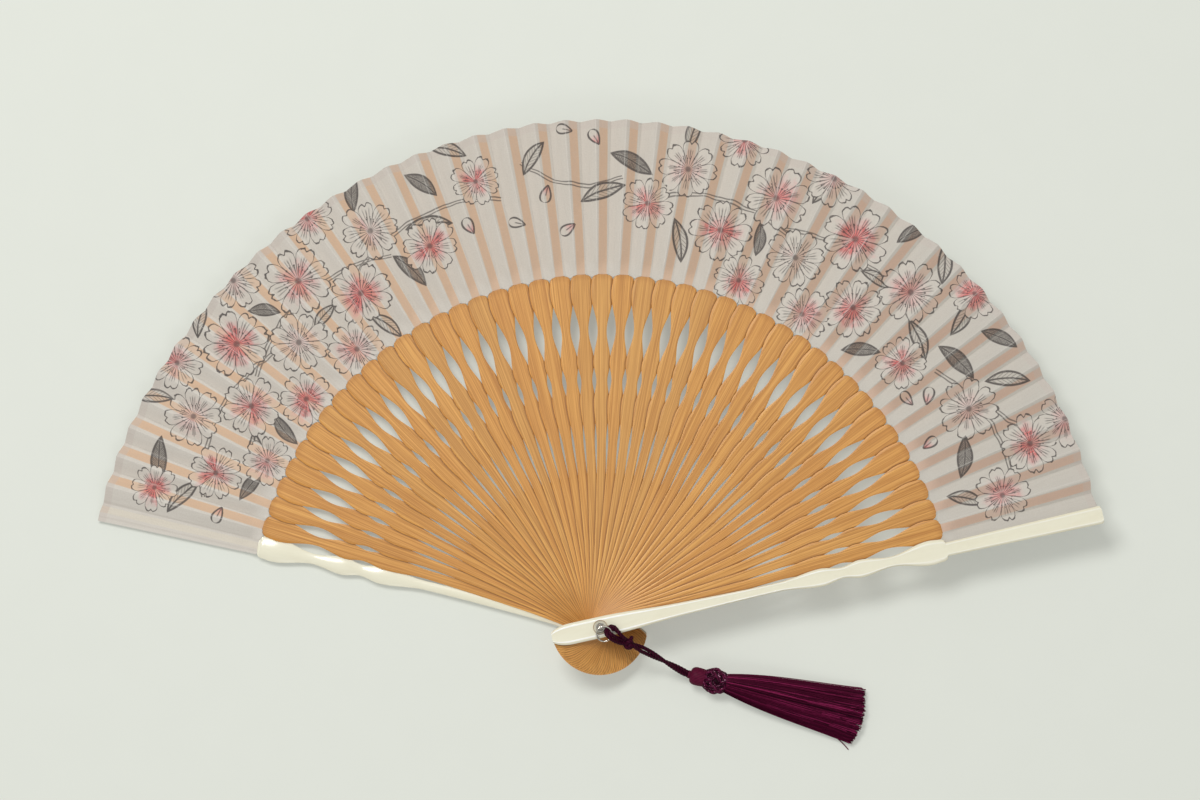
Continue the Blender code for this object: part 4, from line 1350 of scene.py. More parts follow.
@dataclass
class Leaf:
    """The pleated silk, one strip from each stick's middle to the next one's."""

    layout: Layout
    scallop: float = 0.35
    silk: float = 0.10
    gap: float = 0.04
    end_from: int = 41
    end_crease: float = 0.76
    fold_half: float = 0.14
    twist_rows: int = 10
    open_rows: int = 22
    blend_reach: float = 160.0
    halves_meet: int = 22
    dome_flat: float = 2.15
    dome_round: float = 2.2
    dome_fade: float = 3.0
    trim: float = 0.15
    seed: int = 5

    def column(self, number: int, side: int, reach: float) -> Station:
        """Azimuth and height of the crease beside a stick.

        Args:
            number: Number of the stick.
            side: 1 for its left crease, a ridge, and -1 for its right one, a valley.
            reach: Place along the stick.

        Returns:
            Azimuth and height of the silk's underside.
        """
        lay = self.layout
        if number == 0:
            turn = math.degrees(math.asin(lay.back_tongue_root / 2 / reach))
            height = lay.back_guard_z + lay.guard_thickness - lay.relief(reach) + self.gap
            return lay.azimuth(0) + side * turn, height
        if number > lay.stick_count:
            height = lay.front_guard_z + lay.relief(reach) - self.gap - self.silk
            return lay.azimuth(number) + lay.crease * (1.0 if side > 0 else -0.5), height
        beside = lay.crease * (self.end_crease if side > 0 and number > self.end_from else 1.0)
        lift = reach * math.sin(math.radians(beside)) * math.tan(lay.pleat_slope(reach))
        height = lay.stick_z(number) + lay.tongue_thickness + self.gap
        return lay.azimuth(number) + side * beside, height + side * lift

    def columns(self, number: int, reach: float) -> list[Station]:
        """Azimuths and heights across one strip at one reach, from its left to its right.

        Args:
            number: Number of the stick on the strip's left.
            reach: Place along the stick.

        Returns:
            Azimuth and height of each column.
        """
        lay = self.layout
        left = self.column(number, -1, reach)
        right = self.column(number + 1, 1, reach)
        if number == 0:
            start = (lay.azimuth(0) + lay.leaf_end_flap, left[1])
        else:
            start = self._part(left, self.column(number, 1, reach), 0.5)
        beyond = self.column(number + 1, -1, reach)
        end = beyond if number == lay.stick_count else self._part(right, beyond, 0.5)
        soft = math.degrees(self.fold_half / reach)
        made = [start, self._part(start, left, 0.5)]
        made += self._crease(start, left, right, soft)
        made.append(self._part(left, right, 0.5))
        made += self._crease(left, right, end, soft)
        made += [self._part(right, end, 0.5), end]
        return made

    @staticmethod
    def _part(near: Station, far: Station, share: float) -> Station:
        """Point at a share of the way from one column to another."""
        return between(near[0], far[0], share), between(near[1], far[1], share)

    def _crease(self, before: Station, at: Station, after: Station, soft: float) -> list[Station]:
        """Three columns that round off a crease."""
        near = self._part(at, before, soft / max(abs(before[0] - at[0]), 1e-6))
        far = self._part(at, after, soft / max(abs(after[0] - at[0]), 1e-6))
        middle = (near[1] + far[1]) / 2
        return [near, (at[0], between(at[1], middle, 0.5)), far]

    def reaches(self) -> list[float]:
        """Places of the rows from the leaf's inner edge to its outer one."""
        lay = self.layout
        twisted = spread(lay.leaf_inner, lay.twist_end, self.twist_rows)
        return twisted[:-1] + spread(lay.twist_end, lay.leaf_outer, self.open_rows)

    def dome(self, offset: float, reach: float) -> float:
        """How far the silk's inner edge dips between two shoulders.

        Args:
            offset: Angle from the strip's left stick, in degrees.
            reach: Place along the stick.

        Returns:
            The dip, which follows the shoulders' rounded corners.
        """
        pitch = self.layout.pitch
        beside = math.radians(min(abs(offset), abs(pitch - offset))) * self.layout.leaf_inner
        corner = min(max(beside - self.dome_flat, 0.0), self.dome_round)
        fade = max(1.0 - (reach - self.layout.leaf_inner) / self.dome_fade, 0.0)
        return (self.dome_round - math.sqrt(self.dome_round**2 - corner**2)) * fade

    def strip(self, number: int, chance: random.Random) -> tuple[Surface, float, float]:
        """Builds one strip.

        Args:
            number: Number of the stick on its left.
            chance: Source of its unevenness.

        Returns:
            Its surface, the width of its outer edge laid flat, and its flat area.
        """
        lay = self.layout
        surface = Surface()
        rows = []
        trim = chance.uniform(-self.trim, self.trim)
        for reach in self.reaches():
            row = []
            out = max((reach - lay.twist_end) / (lay.leaf_outer - lay.twist_end), 0.0)
            for azimuth, height in self.columns(number, reach):
                offset = lay.azimuth(number) - azimuth
                ridge = math.cos(math.radians((offset - lay.pitch + lay.crease) / lay.pitch * 360.0))
                scallop = self.scallop * ridge + trim * math.sin(math.pi * offset / lay.pitch)
                grown = lay.edge_spare(azimuth)
                far = reach + grown * out + scallop * ease(out * 2 - 1) - self.dome(offset, reach)
                spare = lay.leaf_outer + grown + scallop - far
                point = around(far, math.radians(azimuth), height)
                charts = {"pleat": (offset, far), "plan": (point.x, point.y)}
                row.append(surface.add(point, **charts, end=1.0 if number == 0 else 0.0, spare=spare))
            rows.append(row)
        area = 0.0
        for inner, outer in zip(rows, rows[1:]):
            for k in range(len(inner) - 1):
                face = (inner[k], inner[k + 1], outer[k + 1], outer[k])
                surface.faces.append(face)
                a, b, c, d = (surface.points[corner] for corner in face)
                area += (d - a).cross(c - a).length / 2
                area += (c - a).cross(b - a).length / 2
        return surface, path_length([surface.points[corner] for corner in rows[-1]]), area

    def thicken(self, piece: bpy.types.Object) -> None:
        """Gives a strip its thickness, with both materials and crisp rims."""
        solid = piece.modifiers.new("silk", "SOLIDIFY")
        solid.thickness = self.silk * MM
        solid.offset = 1.0
        solid.use_even_offset = False
        graph = bpy.context.evaluated_depsgraph_get()
        data = bpy.data.meshes.new_from_object(piece.evaluated_get(graph), depsgraph=graph)
        flat = piece.data
        piece.modifiers.clear()
        piece.data = data
        bpy.data.meshes.remove(flat)
        for face in data.polygons:
            face.material_index = 1 if face.normal.z < -0.2 else 0
        data.set_sharp_from_angle(angle=math.radians(60.0))

    def hinge_point(self, number: int, side: int) -> Vector:
        """Place of a crease at a set reach along the sticks, in metres."""
        azimuth, height = self.column(number, side, self.blend_reach)
        return around(self.blend_reach, math.radians(azimuth), height) * MM

    def build(self) -> None:
        """Builds every strip from one stick to the next."""
        lay = self.layout
        finish = SilkFinish(pitch=lay.pitch, crease=lay.crease)
        middle = lay.azimuth(self.halves_meet)
        left = [finish.material(side, middle, 180.0) for side in SilkSide]
        right = [finish.material(side, 0.0, middle) for side in SilkSide]
        chance = random.Random(self.seed)
        for number in range(lay.stick_count + 1):
            name = f"silk_pleat_{number:02d}"
            surface, width, area = self.strip(number, chance)
            piece = put(name, surface.mesh(name, 60.0), left if number < self.halves_meet else right)
            self.thicken(piece)
            a, b = lay.body(number), lay.body(number + 1)
            start, end = self.hinge_point(number, -1), self.hinge_point(number + 1, 1)
            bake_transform(piece)
            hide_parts("leaf")
            flat = (width * MM, (lay.leaf_outer + self.edge_growth(number) - lay.leaf_inner) * MM)
        log.info("leaf: %d strips", lay.stick_count + 1)

    def edge_growth(self, number: int) -> float:
        """How far a strip's outer edge runs past the leaf's usual reach."""
        return self.layout.edge_spare(self.layout.azimuth(number))


@dataclass
class Rivet:
    """Rivet with an open cup, its two washers, the swivel eye and the jump ring."""

    layout: Layout
    radius: float = 1.2
    clearance: float = 0.15
    washer_radius: float = 2.7
    washer_thickness: float = 0.4
    flange: float = 0.4
    cup_radius: float = 1.25
    cup_wall: float = 0.5
    cup_depth: float = 0.7
    eye_radius: float = 0.85
    eye_wire: float = 0.25
    eye_gap: float = 0.1
    ring_radius: float = 2.8
    ring_wire: float = 0.3
    ring_azimuth: float = -60.0
    ring_tilt: float = 6.0
    ring_rise: float = 0.15
    ring_split: float = 7.0
    sides: int = 48

    @property
    def head_z(self) -> float:
        """Height of the rivet head's underside."""
        return self.layout.front_top + 2 * self.layout.stack_gap + self.washer_thickness

    @property
    def eye_z(self) -> float:
        """Height of the swivel eye's middle."""
        return self.head_z + self.flange + self.eye_gap + self.eye_radius + self.eye_wire

    def turned(self, name: str, profile: Sequence[Station], lip: float) -> bpy.types.Mesh:
        """Turned mesh with eased corners.

        Args:
            name: Its name.
            profile: Radius and height down its outer side, a closed line if it starts off the axis.
            lip: How far each corner is eased.

        Returns:
            The mesh.
        """
        line = self._eased(profile, lip)
        surface = Surface()
        widest = max(radius for radius, _ in line)
        rings = []
        for radius, height in line:
            count = 1 if radius < 1e-6 else self.sides
            ring = []
            for k in range(count):
                angle = math.tau * k / self.sides
                point = around(radius, angle, height)
                ring.append(surface.add(point, length=(height, radius * angle), rim=radius / widest))
            rings.append(ring)
        if profile[0][0] > 1e-6:
            rings.append(rings[0])
        for near, far in zip(rings, rings[1:]):
            for k in range(self.sides):
                pairs = [[ring[n % len(ring)] for ring in (near, far)] for n in (k, k + 1)]
                surface.faces.append(tuple(dict.fromkeys(pairs[0] + pairs[1][::-1])))
        return surface.mesh(name, 35.0)

    @staticmethod
    def _eased(profile: Sequence[Station], lip: float) -> list[Station]:
        """Cuts each corner that lies off the axis."""
        line = []
        count = len(profile)
        for k, (radius, height) in enumerate(profile):
            here = Vector((radius, height))
            closed = profile[0][0] > 1e-6
            if radius < 1e-6 or (not closed and k in (0, count - 1)):
                line.append((radius, height))
                continue
            for other in (Vector(profile[k - 1]), Vector(profile[(k + 1) % count])):
                way = other - here
                step = min(lip, way.length * 0.45)
                spot = here + way.normalized() * step
                line.append((spot.x, spot.y))
        return line

    def wire(self, name: str, radius: float, wire: float, split: float) -> bpy.types.Mesh:
        """Ring of round wire, open by a split where it has one.

        Args:
            name: Its name.
            radius: Radius of its centre line.
            wire: Radius of the wire.
            split: Angle of the opening, or 0.

        Returns:
            The mesh, lying flat.
        """
        surface = Surface()
        count = self.sides
        path = []
        for k in range(count + 1):
            angle = math.radians(split / 2 + (360 - split) * k / count)
            path.append(around(radius, angle))
        tube(surface, path, 14, lambda k, angle: wire, caps=split > 0)
        return surface.mesh(name)

    def build(self) -> None:
        """Builds the metal pieces and the washers."""
        lay = self.layout
        steel = MetalFinish().material()
        clear = ClearFinish().material()
        outer = self.cup_radius + self.cup_wall
        floor = self.head_z + self.flange
        rim = floor + self.cup_depth
        profile = (
            (0.0, floor), (self.cup_radius, floor), (self.cup_radius, rim), (outer, rim),
            (outer, self.head_z), (self.radius, self.head_z), (self.radius, self.flange),
            (outer, self.flange), (outer, 0.0), (0.0, 0.0),
        )
        post = put("rivet_post", self.turned("rivet_post", profile, 0.12), [steel])
        seat(post, "front_guard", "rivet_metal", "rivet")
        hole = self.radius + self.clearance
        thick = self.washer_thickness
        ring = ((hole, thick), (self.washer_radius, thick), (self.washer_radius, 0.0), (hole, 0.0))
        heights = {"back_washer": self.flange + lay.stack_gap, "front_washer": lay.front_top + lay.stack_gap}
        for node, height in heights.items():
            name = "clear_" + node
            piece = put(name, self.turned(name, ring, 0.1), [clear], Vector((0.0, 0.0, height)))
            seat(piece, "front_guard", "clear_plastic", node)
        eye = self.wire("swivel_loop", self.eye_radius, self.eye_wire, 0.0)
        at = Vector((0.0, 0.0, self.eye_z))
        piece = put("swivel_loop", eye, [steel], at, (90.0, 0.0, self.ring_azimuth))
        seat(piece, "tassel", "ring_metal", "swivel_eye")
        rise = self.ring_rise - self.ring_radius * math.sin(math.radians(self.ring_tilt))
        at = around(self.ring_radius, math.radians(self.ring_azimuth), self.eye_z + rise)
        data = self.wire("split_ring", self.ring_radius, self.ring_wire, self.ring_split)
        piece = put("split_ring", data, [steel], at, (0.0, self.ring_tilt, self.ring_azimuth))
        seat(piece, "tassel", "ring_metal", "jump_ring")
        log.info("rivet, washers, eye and ring: 5")


@dataclass(frozen=True)
class Plies:
    """Twisted plies of a thread, as heights on its surface."""

    radius: float
    depth: float = 0.10
    turn: float = 1.05
    phase: float = 0.0
    last: int = 0

    def height(self, k: int, angle: float) -> float:
        """Height of the three plies at a path point and an angle, from 0 to 1."""
        return 0.5 + 0.5 * math.cos(3 * angle + self.phase - self.turn * k)

    def reach(self, k: int, angle: float) -> float:
        """Radius of the thread at a path point and an angle, smaller at a cut end."""
        full = self.radius * (1 - self.depth + 1.3 * self.depth * self.height(k, angle))
        return full * between(1.0, 0.75, ease((k - self.last + 2) / 2)) if self.last else full


@dataclass
class Cord:
    """The doubled cord: from the tassel to its knot, twice through the jump ring, and back."""

    layout: Layout
    diameter: float = 1.52
    loop_route: tuple[Spot, ...] = (
        (9.0, -5.7, -1.6), (7.4, -5.1, -0.2), (5.4, -4.3, 1.7), (3.9, -3.3, 3.3), (2.7, -2.3, 2.9),
        (2.5, -1.3, 1.8), (3.3, -0.5, 1.25), (4.5, 0.0, 1.25), (5.8, -0.7, 1.15), (7.0, -2.1, 0.9),
        (8.2, -3.4, 0.0), (9.3, -4.3, -1.3),
    )
    leg_route: tuple[Spot, ...] = (
        (12.3, -6.65, 0.95), (14.8, -7.8, 0.81), (18.5, -9.6, 0.60), (24.7, -13.0, 0.31),
        (29.2, -15.4, 0.12), (32.3, -17.1, 0.03),
    )
    knot_place: Spot = (10.7, -5.9, -2.3)
    knot_span: float = 1.20
    knot_turn: tuple[Spot, ...] = (
        (-0.2, 0.7, 0.2), (0.9, -0.2, 0.1), (1.1, -1.2, 0.0), (0.3, -1.9, -0.1), (-0.8, -1.6, 0.0),
        (-1.5, -0.7, 0.2),
    )
    collar: Spot = (33.0, -17.38, 5.0)
    lay_length: float = 36.0
    lay_start: float = -1.53
    spread: float = 0.80
    spread_end: float = 0.68
    gap_at: float = 6.0
    gap_spread: float = 0.12
    loop_spread: float = 0.74
    spacing: float = 0.22
    easing: int = 14
    ball_radius: float = 5.0
    gap_length: float = 1.6
    knot_pinch: Station = (0.4, 2.5)
    cap_pinch: Station = (0.85, 2.0)
    ring_spread: float = 0.52
    wide_until: float = 0.45
    wide_ramp: float = 0.12
    stack_from: float = 0.60
    stack_ramp: float = 0.2
    stack_lift: float = 0.95
    knot_steps: int = 90

    def knot_centre(self) -> Vector:
        """Middle of the knot."""
        x, y, z = self.knot_place
        return Vector((x, y, z + self.layout.front_top))

    def leg(self, hand: int) -> list[Vector]:
        """One strand of the pair, from the knot down to the tassel.

        Args:
            hand: 1 or -1 for the one strand or the other.

        Returns:
            Its points.
        """
        drop = self.layout.front_top + self.knot_place[2] - self.ball_radius
        route = [self.knot_centre()]
        route += [Vector((x, y, self.ball_radius + share * drop)) for x, y, share in self.leg_route]
        route.append(Vector(self.collar))
        line = smooth_path(route, self.spacing)
        made = []
        length = 0.0
        total = path_length(line)
        for k, (side, over) in enumerate(frames_along(line)):
            length += (line[k] - line[k - 1]).length if k else 0.0
            turn = math.tau * length / self.lay_length + self.lay_start
            wide = between(self.spread, self.spread_end, length / total)
            wide += self.gap_spread * math.exp(-(((length - self.gap_at) / self.gap_length) ** 2))
            at_knot = between(self.knot_pinch[0], 1.0, ease(length / self.knot_pinch[1]))
            at_cap = between(self.cap_pinch[0], 1.0, ease((total - length) / self.cap_pinch[1]))
            wide *= at_knot * at_cap
            made.append(line[k] + hand * wide * (side * math.cos(turn) + over * math.sin(turn)))
        return made

    def loop(self, hand: int) -> list[Vector]:
        """One pass of the loop through the jump ring and back to the knot.

        Args:
            hand: 1 or -1 for the one pass or the other.

        Returns:
            Its points.
        """
        route = [Vector((x, y, z + self.layout.front_top)) for x, y, z in self.loop_route]
        line = smooth_path(route, self.spacing)
        made = []
        for k, point in enumerate(line):
            ahead = line[min(k + 1, len(line) - 1)] - line[max(k - 1, 0)]
            side = Vector((-ahead.y, ahead.x, 0.0)).normalized()
            share = k / (len(line) - 1)
            stacked = ease((share - self.stack_from) / self.stack_ramp)
            parted = ease(share / self.wide_ramp) * ease((self.wide_until - share) / self.wide_ramp)
            wide = between(self.ring_spread, self.loop_spread, parted)
            flat = side * (hand * wide)
            above = Vector((0.0, 0.0, 0.0 if hand < 0 else self.stack_lift))
            made.append(point + flat * (1 - stacked) + above * stacked)
        return made

    def path(self) -> list[Vector]:
        """Whole centre line of the cord."""
        first, second = self.leg(1), self.leg(-1)
        knot = self.knot_centre()
        one, two = self.loop(1), self.loop(-1)
        route = self._thinned(list(reversed(first))[:-3], 4) + [knot + Vector((-0.4, 0.3, 0.1))]
        route += self._thinned(one[3:-3], 4) + [knot + Vector(spot) for spot in self.knot_turn]
        route += self._thinned(two[3:-3], 4) + [knot + Vector((-0.2, 0.5, 0.0))]
        route += self._thinned(second[3:], 4)
        line = smooth_path(route, self.spacing)
        for _ in range(self.easing):
            inner = [(a + 2 * b + c) / 4 for a, b, c in zip(line, line[1:], line[2:])]
            line = [line[0], *inner, line[-1]]
        return smooth_path(self._thinned(line, 3), self.spacing)

    @staticmethod
    def _thinned(route: Sequence[Vector], step: int) -> list[Vector]:
        """Every so many points of a fine route, with its two ends."""
        kept = list(route[::step])
        if (len(route) - 1) % step > step // 2:
            kept.append(route[-1])
        else:
            kept[-1] = route[-1]
        return kept

    def build(self) -> None:
        """Builds the cord and its knot."""
        material = ThreadFinish(name="cord_thread", body=srgb(64, 8, 34), bright=srgb(122, 36, 76)).material()
        path = self.path()
        plies = Plies(self.diameter / 2, depth=0.13)
        surface = Surface()
        tube(surface, path, 12, plies.reach, 0.0, plies.height)
        piece = put("hanging_cord", surface.mesh("hanging_cord", 80.0), [material])
        seat(piece, "tassel", "cord_thread", "cord_loop", "tassel_cord")
        knot = self.build_knot(material)
        log.info("cord: %.1f mm", path_length(path))

    def build_knot(self, material: bpy.types.Material) -> bpy.types.Object:
        """Builds the knot, a tight closed turn with its two cut ends.

        Args:
            material: Finish of the thread.

        Returns:
            The knot.
        """
        surface = Surface()
        radius = self.diameter / 2
        centre = self.knot_centre()
        heading = math.atan2(self.leg_route[1][1] - centre.y, self.leg_route[1][0] - centre.x)
        turn = []
        for k in range(self.knot_steps + 1):
            t = math.tau * k / self.knot_steps
            up = math.sin(t) + 2 * math.sin(2 * t)
            along = -math.sin(3 * t) * 1.4
            across = math.cos(t) - 2 * math.cos(2 * t)
            local = Vector((along, across, up)) * (self.knot_span / 2.6)
            x = local.x * math.cos(heading) - local.y * math.sin(heading)
            y = local.x * math.sin(heading) + local.y * math.cos(heading)
            turn.append(centre + Vector((x, y, local.z)))
        plies = Plies(radius, depth=0.08)
        tube(surface, turn, 10, plies.reach, 0.2, plies.height)
        ends = (
            ((0.3, 0.9, -0.1), (0.9, 1.9, 0.1), (0.8, 2.7, 0.2)),
            ((-0.5, -1.0, -0.1), (-1.0, -1.6, 0.0), (-1.3, -2.1, 0.0)),
        )
        for end in ends:
            line = smooth_path([centre] + [centre + Vector(spot) for spot in end], 0.2)
            plies = Plies(radius, depth=0.08, last=len(line) - 1)
            tube(surface, line, 10, plies.reach, 0.1, plies.height)
        piece = put("tied_knot", surface.mesh("tied_knot", 80.0), [material])
        return seat(piece, "tassel", "cord_thread", "cord_knot")


@dataclass
class Tassel:
    """The tassel lying on the table: wound cap, plaited ball and skirt of loose threads."""

    azimuth: float = -14.0
    centre: Station = (42.7, -19.8)
    cap_start: float = -10.0
    cap_end: float = -3.1
    cap_radius: float = 3.45
    cap_neck: float = 0.9
    cap_shoulder: float = 2.4
    collar_radius: float = 1.5
    ball_length: float = 11.4
    ball_radius: float = 5.15
    ball_shift: float = 0.55
    skirt_start: float = 3.6
    skirt_length: float = 54.6
    end_bow: float = 2.2
    neck_radius: float = 3.1
    end_width: float = 21.0
    end_thickness: float = 4.4
    bulge: float = 0.9
    strand_count: int = 640
    strand_radius: float = 0.17
    strand_rows: int = 18
    leads: int = 6
    lead_radius: float = 0.62
    weave: float = 0.34
    slant: float = 1.35
    lead_rows: int = 54
    lead_pole: float = 78.0
    core_share: float = 0.93
    core_spread: float = 0.78
    seed: int = 23

    def place(self, along: float, across: float, height: float) -> Vector:
        """Place counted from the middle of the ball along the tassel and across it."""
        angle = math.radians(self.azimuth)
        x = self.centre[0] + along * math.cos(angle) - across * math.sin(angle)
        y = self.centre[1] + along * math.sin(angle) + across * math.cos(angle)
        return Vector((x, y, height))

    def fit(self, name: str, surface: Surface, material: bpy.types.Material, node: str) -> None:
        """Makes a piece from its surface and rides it on the tassel in place of its node."""
        seat(put(name, surface.mesh(name, 80.0), [material]), "tassel", "tassel_silk", node)

    def spun(self, surface: Surface, line: Sequence[Station], sides: int, tone: float, ridge: float) -> None:
        """Adds a form turned about the tassel's axis, with ridges along it.

        Args:
            surface: Surface that takes it.
            line: Distance along the tassel and radius.
            sides: Number of its sides.
            tone: Painted tone.
            ridge: Depth of the ridges.
        """
        rings = []
        for along, radius in line:
            ring = []
            for n in range(sides):
                angle = math.tau * n / sides
                crest = 0.5 + 0.5 * math.cos(math.pi * n)
                reach = radius - ridge * (1 - crest)
                point = self.place(along, reach * math.cos(angle), self.ball_radius + reach * math.sin(angle))
                ring.append(surface.add(point, length=(along, angle * radius), tone=tone, crest=crest))
            rings.append(ring)
        surface.skin(rings)

    def build_cap(self, material: bpy.types.Material) -> None:
        """Builds the cap of smooth threads drawn together at its collar."""
        neck = self.cap_start + self.cap_neck
        line = [(self.cap_start, self.collar_radius * 0.6), (self.cap_start, self.collar_radius)]
        line.append((neck - 0.1, self.collar_radius))
        for row in range(9):
            angle = math.pi / 2 * row / 8
            radius = self.collar_radius + 0.2 + (self.cap_radius - self.collar_radius - 0.2) * math.sin(angle)
            line.append((neck + self.cap_shoulder * (1 - math.cos(angle)), radius))
        for row in range(1, 7):
            share = row / 6
            along = between(neck + self.cap_shoulder, self.cap_end, share)
            line.append((along, self.cap_radius * (1 - 0.08 * share * share)))
        surface = Surface()
        self.spun(surface, line, 72, 0.3, 0.08)
        self.fit("drawn_cap", surface, material, "tassel_cap")

    def build_ball(self, core: bpy.types.Material, material: bpy.types.Material) -> None:
        """Builds the plaited ball: two crossing sets of doubled cords over a dark core, coloured as painted
        shade.
        """
        inner = self.ball_radius - self.lead_radius * 2 - 0.2
        half = self.ball_length / 2
        line = []
        for row in range(1, 16):
            angle = math.pi * row / 16
            line.append((self.ball_shift - half * 0.92 * math.cos(angle), inner * math.sin(angle) + 0.3))
        surface = Surface()
        self.spun(surface, line, 32, -1.0, 0.0)
        self.fit("ball_core", surface, core, "tassel_ball")
        surface = Surface()
        chance = random.Random(self.seed)
        for hand in (1, -1):
            for lead in range(self.leads):
                stray = chance.uniform(-0.16, 0.16)
                for twin in (-1, 1):
                    start = math.tau * lead / self.leads + stray + twin * between(0.10, 0.15, chance.random())
                    tone = chance.uniform(-0.8, 0.9)
                    plies = Plies(self.lead_radius, depth=0.12, turn=0.75, phase=tone * 5)
                    tube(surface, self.lead_path(hand, start, stray), 9, plies.reach, tone, plies.height)
        self.fit("plaited_ball", surface, material, "tassel_ball")

    def lead_path(self, hand: int, start: float, stray: float) -> list[Vector]:
        """Centre line of one cord of the plait.

        Args:
            hand: 1 or -1 for the one set or the other.
            start: Its direction at the ball's middle, in radians.
            stray: How far it wanders from an even course, in radians.

        Returns:
            The points.
        """
        half = self.ball_length / 2
        middle = self.ball_radius - self.lead_radius * 1.06 - self.weave * 0.8 - 0.15
        path = []
        for s in spread(-1.0, 1.0, self.lead_rows):
            latitude = s * math.radians(self.lead_pole)
            lift = hand * self.weave * math.cos(self.leads * self.slant * s + stray * 6)
            radius = (middle + lift * 0.8) * math.cos(latitude) + 0.15
            along = self.ball_shift + (half - self.lead_radius) * math.sin(latitude)
            turn = start + hand * self.slant * s + stray * math.sin(s * 4)
            height = self.ball_radius + radius * math.sin(turn)
            path.append(self.place(along, radius * math.cos(turn), height))
        return path

    def skirt_point(self, share: float, spread: float, angle: float) -> Vector:
        """Place in the skirt.

        Args:
            share: How far down the skirt, from 0 at the ball to 1 at its end.
            spread: How far out from its middle line, 1 at its outside.
            angle: Direction in its section, 0 to its left, in radians.

        Returns:
            The place.
        """
        full = self.bulge * share * max(1 - share, 0.0) ** 2 / BULGE_PEAK
        width = between(self.neck_radius, self.end_width / 2, share) + full
        thick = between(self.neck_radius, self.end_thickness / 2, ease(share))
        sag = (self.ball_radius - self.end_thickness / 2) * ease(share)
        across = math.cos(angle)
        along = self.skirt_start + (self.skirt_length - self.end_bow * across * across) * share
        height = self.ball_radius + spread * thick * math.sin(angle) - sag
        return self.place(along, spread * width * across, max(height, self.strand_radius * 1.3))

    def build_skirt(self, core: bpy.types.Material, material: bpy.types.Material) -> None:
        """Builds the skirt: a dark core, coloured as painted shade, under hundreds of loose threads with a
        ragged end.
        """
        surface = Surface()
        rings = []
        for row in range(11):
            share = row / 10 * self.core_share
            ring = []
            for n in range(28):
                angle = math.tau * n / 28
                point = self.skirt_point(share, self.core_spread, angle)
                ring.append(surface.add(point, length=(share * 50, angle * 3), tone=-1.0, crest=0.0))
            rings.append(ring)
        surface.skin(rings)
        self.fit("skirt_core", surface, core, "tassel_skirt")
        surface = Surface()
        chance = random.Random(self.seed + 1)
        for number in range(self.strand_count):
            self.strand(surface, chance, number)
        self.stray(surface)
        self.fit("skirt_threads", surface, material, "tassel_skirt")

    def strand(self, surface: Surface, chance: random.Random, number: int) -> None:
        """Adds one thread of the skirt."""
        angle = math.tau * (number + chance.uniform(-0.5, 0.5)) / self.strand_count * 13
        fuzz = 0.10 * chance.random() ** 3 if math.cos(angle) > 0.8 else 0.0
        spread = 1.0 - 0.30 * chance.random() ** 1.6 + fuzz
        lock = math.sin(angle * 11) * 0.5 + math.sin(angle * 23 + 1.3) * 0.35
        drift = chance.uniform(-0.08, 0.08)
        end = 1.0 + chance.uniform(-0.026, 0.003) + 0.004 * math.sin(angle * 7)
        wave = chance.uniform(0.0, math.tau)
        sway = chance.uniform(0.012, 0.035)
        tone = chance.uniform(-1.0, 1.0) * 1.1 + lock * 0.55
        path = []
        for row in range(self.strand_rows + 1):
            share = row / self.strand_rows * end
            swing = drift * share + 0.03 * lock * share * share + sway * math.sin(share * 11 + wave) * share
            out = spread - 0.05 * (1 - math.cos(lock * share * 2)) * share
            path.append(self.skirt_point(share, out, angle + swing))
        radius = self.strand_radius * chance.uniform(0.75, 1.15)
        tube(surface, path, 3, lambda k, a: radius, tone, lambda k, a: 0.5 + 0.5 * math.sin(a + 0.6))

    def stray(self, surface: Surface) -> None:
        """Adds the one thread that curls away at the skirt's end."""
        end = self.skirt_start + self.skirt_length
        spots = ((13.0, -7.6, 1.1), (8.0, -9.4, 0.7), (4.5, -11.3, 0.5), (2.6, -12.6, 0.35))
        route = [self.place(end - back, across, height) for back, across, height in spots]
        tube(surface, smooth_path(route, 0.5), 5, lambda k, a: 0.22, 0.3)

    def build(self) -> None:
        """Builds the whole tassel."""
        satin = ThreadFinish("satin_thread", body=srgb(102, 22, 54), bright=srgb(130, 44, 82), fibre=1.2)
        woven = srgb(92, 18, 56)
        plait = ThreadFinish("plaited_thread", body=woven, bright=srgb(150, 56, 100), speck_share=0.9)
        threads = ThreadFinish("skirt_thread", body=srgb(80, 8, 42), bright=srgb(168, 48, 102))
        # Inner threads of the ball and skirt, coloured dark as painted shade inside the tassel.
        core = ThreadFinish("painted_shade_core", body=srgb(40, 5, 20), bright=srgb(52, 8, 28)).material()
        self.build_cap(satin.material())
        self.build_ball(core, plait.material())
        self.build_skirt(core, threads.material())
        log.info("tassel: cap, ball and %d threads", self.strand_count)


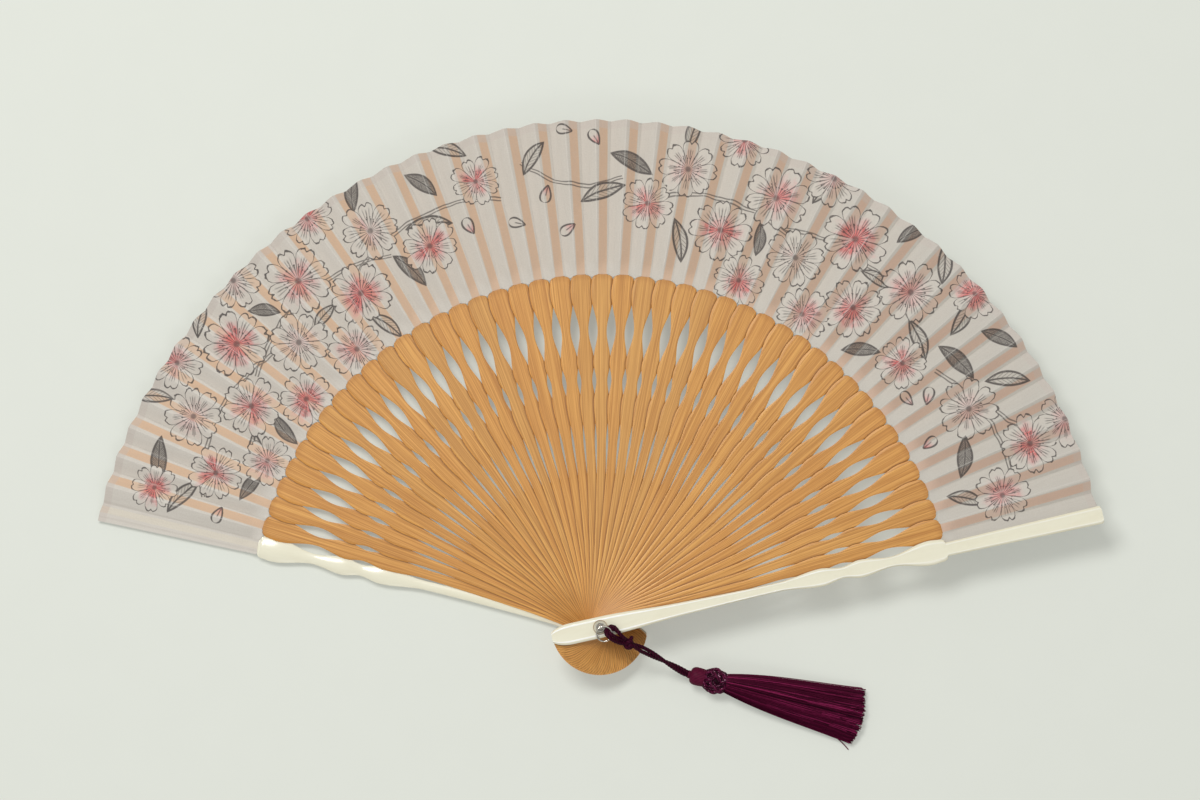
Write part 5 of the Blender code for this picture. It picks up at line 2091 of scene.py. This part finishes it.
@dataclass
class Studio:
    """Pale floor, two soft lamps, an even sky and the camera above; floor and lamps in metres."""

    aim: Station = (-0.15, 85.2)
    plane_height: float = 10.0
    frame_width: float = 450.1
    distance: float = 1800.0
    turn: float = 0.35
    lean: float = 2.6
    floor_size: float = 6.0
    sensor: float = 36.0
    key_place: Spot = (-0.45, 0.75, 1.6)
    key_size: Station = (0.7, 0.45)
    key_power: float = 20.6
    fill_place: Spot = (0.3, -1.2, 1.3)
    fill_size: Station = (1.2, 0.6)
    fill_power: float = 3.5
    sky: float = 0.375
    sky_colour: Colour = (1.0, 1.0, 0.985, 1.0)

    def camera(self) -> None:
        """Puts the camera above the fan, leaning a little towards its leaf."""
        data = bpy.data.cameras.new("camera")
        data.sensor_width = self.sensor
        data.lens = data.sensor_width * (self.distance - self.plane_height) / self.frame_width
        data.clip_start = 0.01
        piece = bpy.data.objects.new("camera", data)
        back = (self.distance - self.plane_height) * math.tan(math.radians(self.lean))
        piece.location = (self.aim[0] * MM, (self.aim[1] - back) * MM, self.distance * MM)
        piece.rotation_euler = (math.radians(self.lean), 0.0, math.radians(self.turn))
        bpy.context.scene.collection.objects.link(piece)
        bpy.context.scene.camera = piece

    def floor(self) -> None:
        """Lays the floor."""
        half = self.floor_size / 2
        data = bpy.data.meshes.new("floor")
        corners = [(-half, -half, 0.0), (half, -half, 0.0), (half, half, 0.0), (-half, half, 0.0)]
        data.from_pydata(corners, [], [(0, 1, 2, 3)])
        put("floor", data, [FloorFinish().material()])

    def lamp(self, name: str, place: Spot, size: Station, power: float) -> None:
        """Adds a soft rectangular lamp aimed at the fan.

        Args:
            name: Its name.
            place: Its place in metres.
            size: Its width and height in metres.
            power: Its power in watts.
        """
        data = bpy.data.lights.new(name, "AREA")
        data.shape = "RECTANGLE"
        data.size, data.size_y = size
        data.energy = power
        piece = bpy.data.objects.new(name, data)
        piece.location = place
        aim = Vector((self.aim[0] * MM, self.aim[1] * MM, 0.0)) - Vector(place)
        piece.rotation_euler = aim.to_track_quat("-Z", "Y").to_euler()
        bpy.context.scene.collection.objects.link(piece)

    def build(self) -> None:
        """Builds the studio."""
        self.camera()
        self.floor()
        self.lamp("north_softbox", self.key_place, self.key_size, self.key_power)
        self.lamp("south_softbox", self.fill_place, self.fill_size, self.fill_power)
        world = bpy.data.worlds.new("studio")
        world.use_nodes = True
        ground = world.node_tree.nodes["Background"]
        ground.inputs["Color"].default_value = self.sky_colour
        ground.inputs["Strength"].default_value = self.sky
        scene = bpy.context.scene
        scene.world = world
        scene.view_settings.view_transform = "Standard"
        log.info("studio")


def write_sizes() -> None:
    """Updates the view layer.
    """
    bpy.context.view_layer.update()


def main() -> None:
    """Dresses the fan from the camera and cord to the leaf."""
    logging.basicConfig(level=logging.INFO, format="%(message)s")
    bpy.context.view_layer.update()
    layout = Layout()
    Studio().build()
    Cord(layout).build()
    Tassel().build()
    Rivet(layout).build()
    Sticks(layout).build()
    Guards(layout).build()
    Leaf(layout).build()
    write_sizes()


if __name__ == "__main__":
    main()
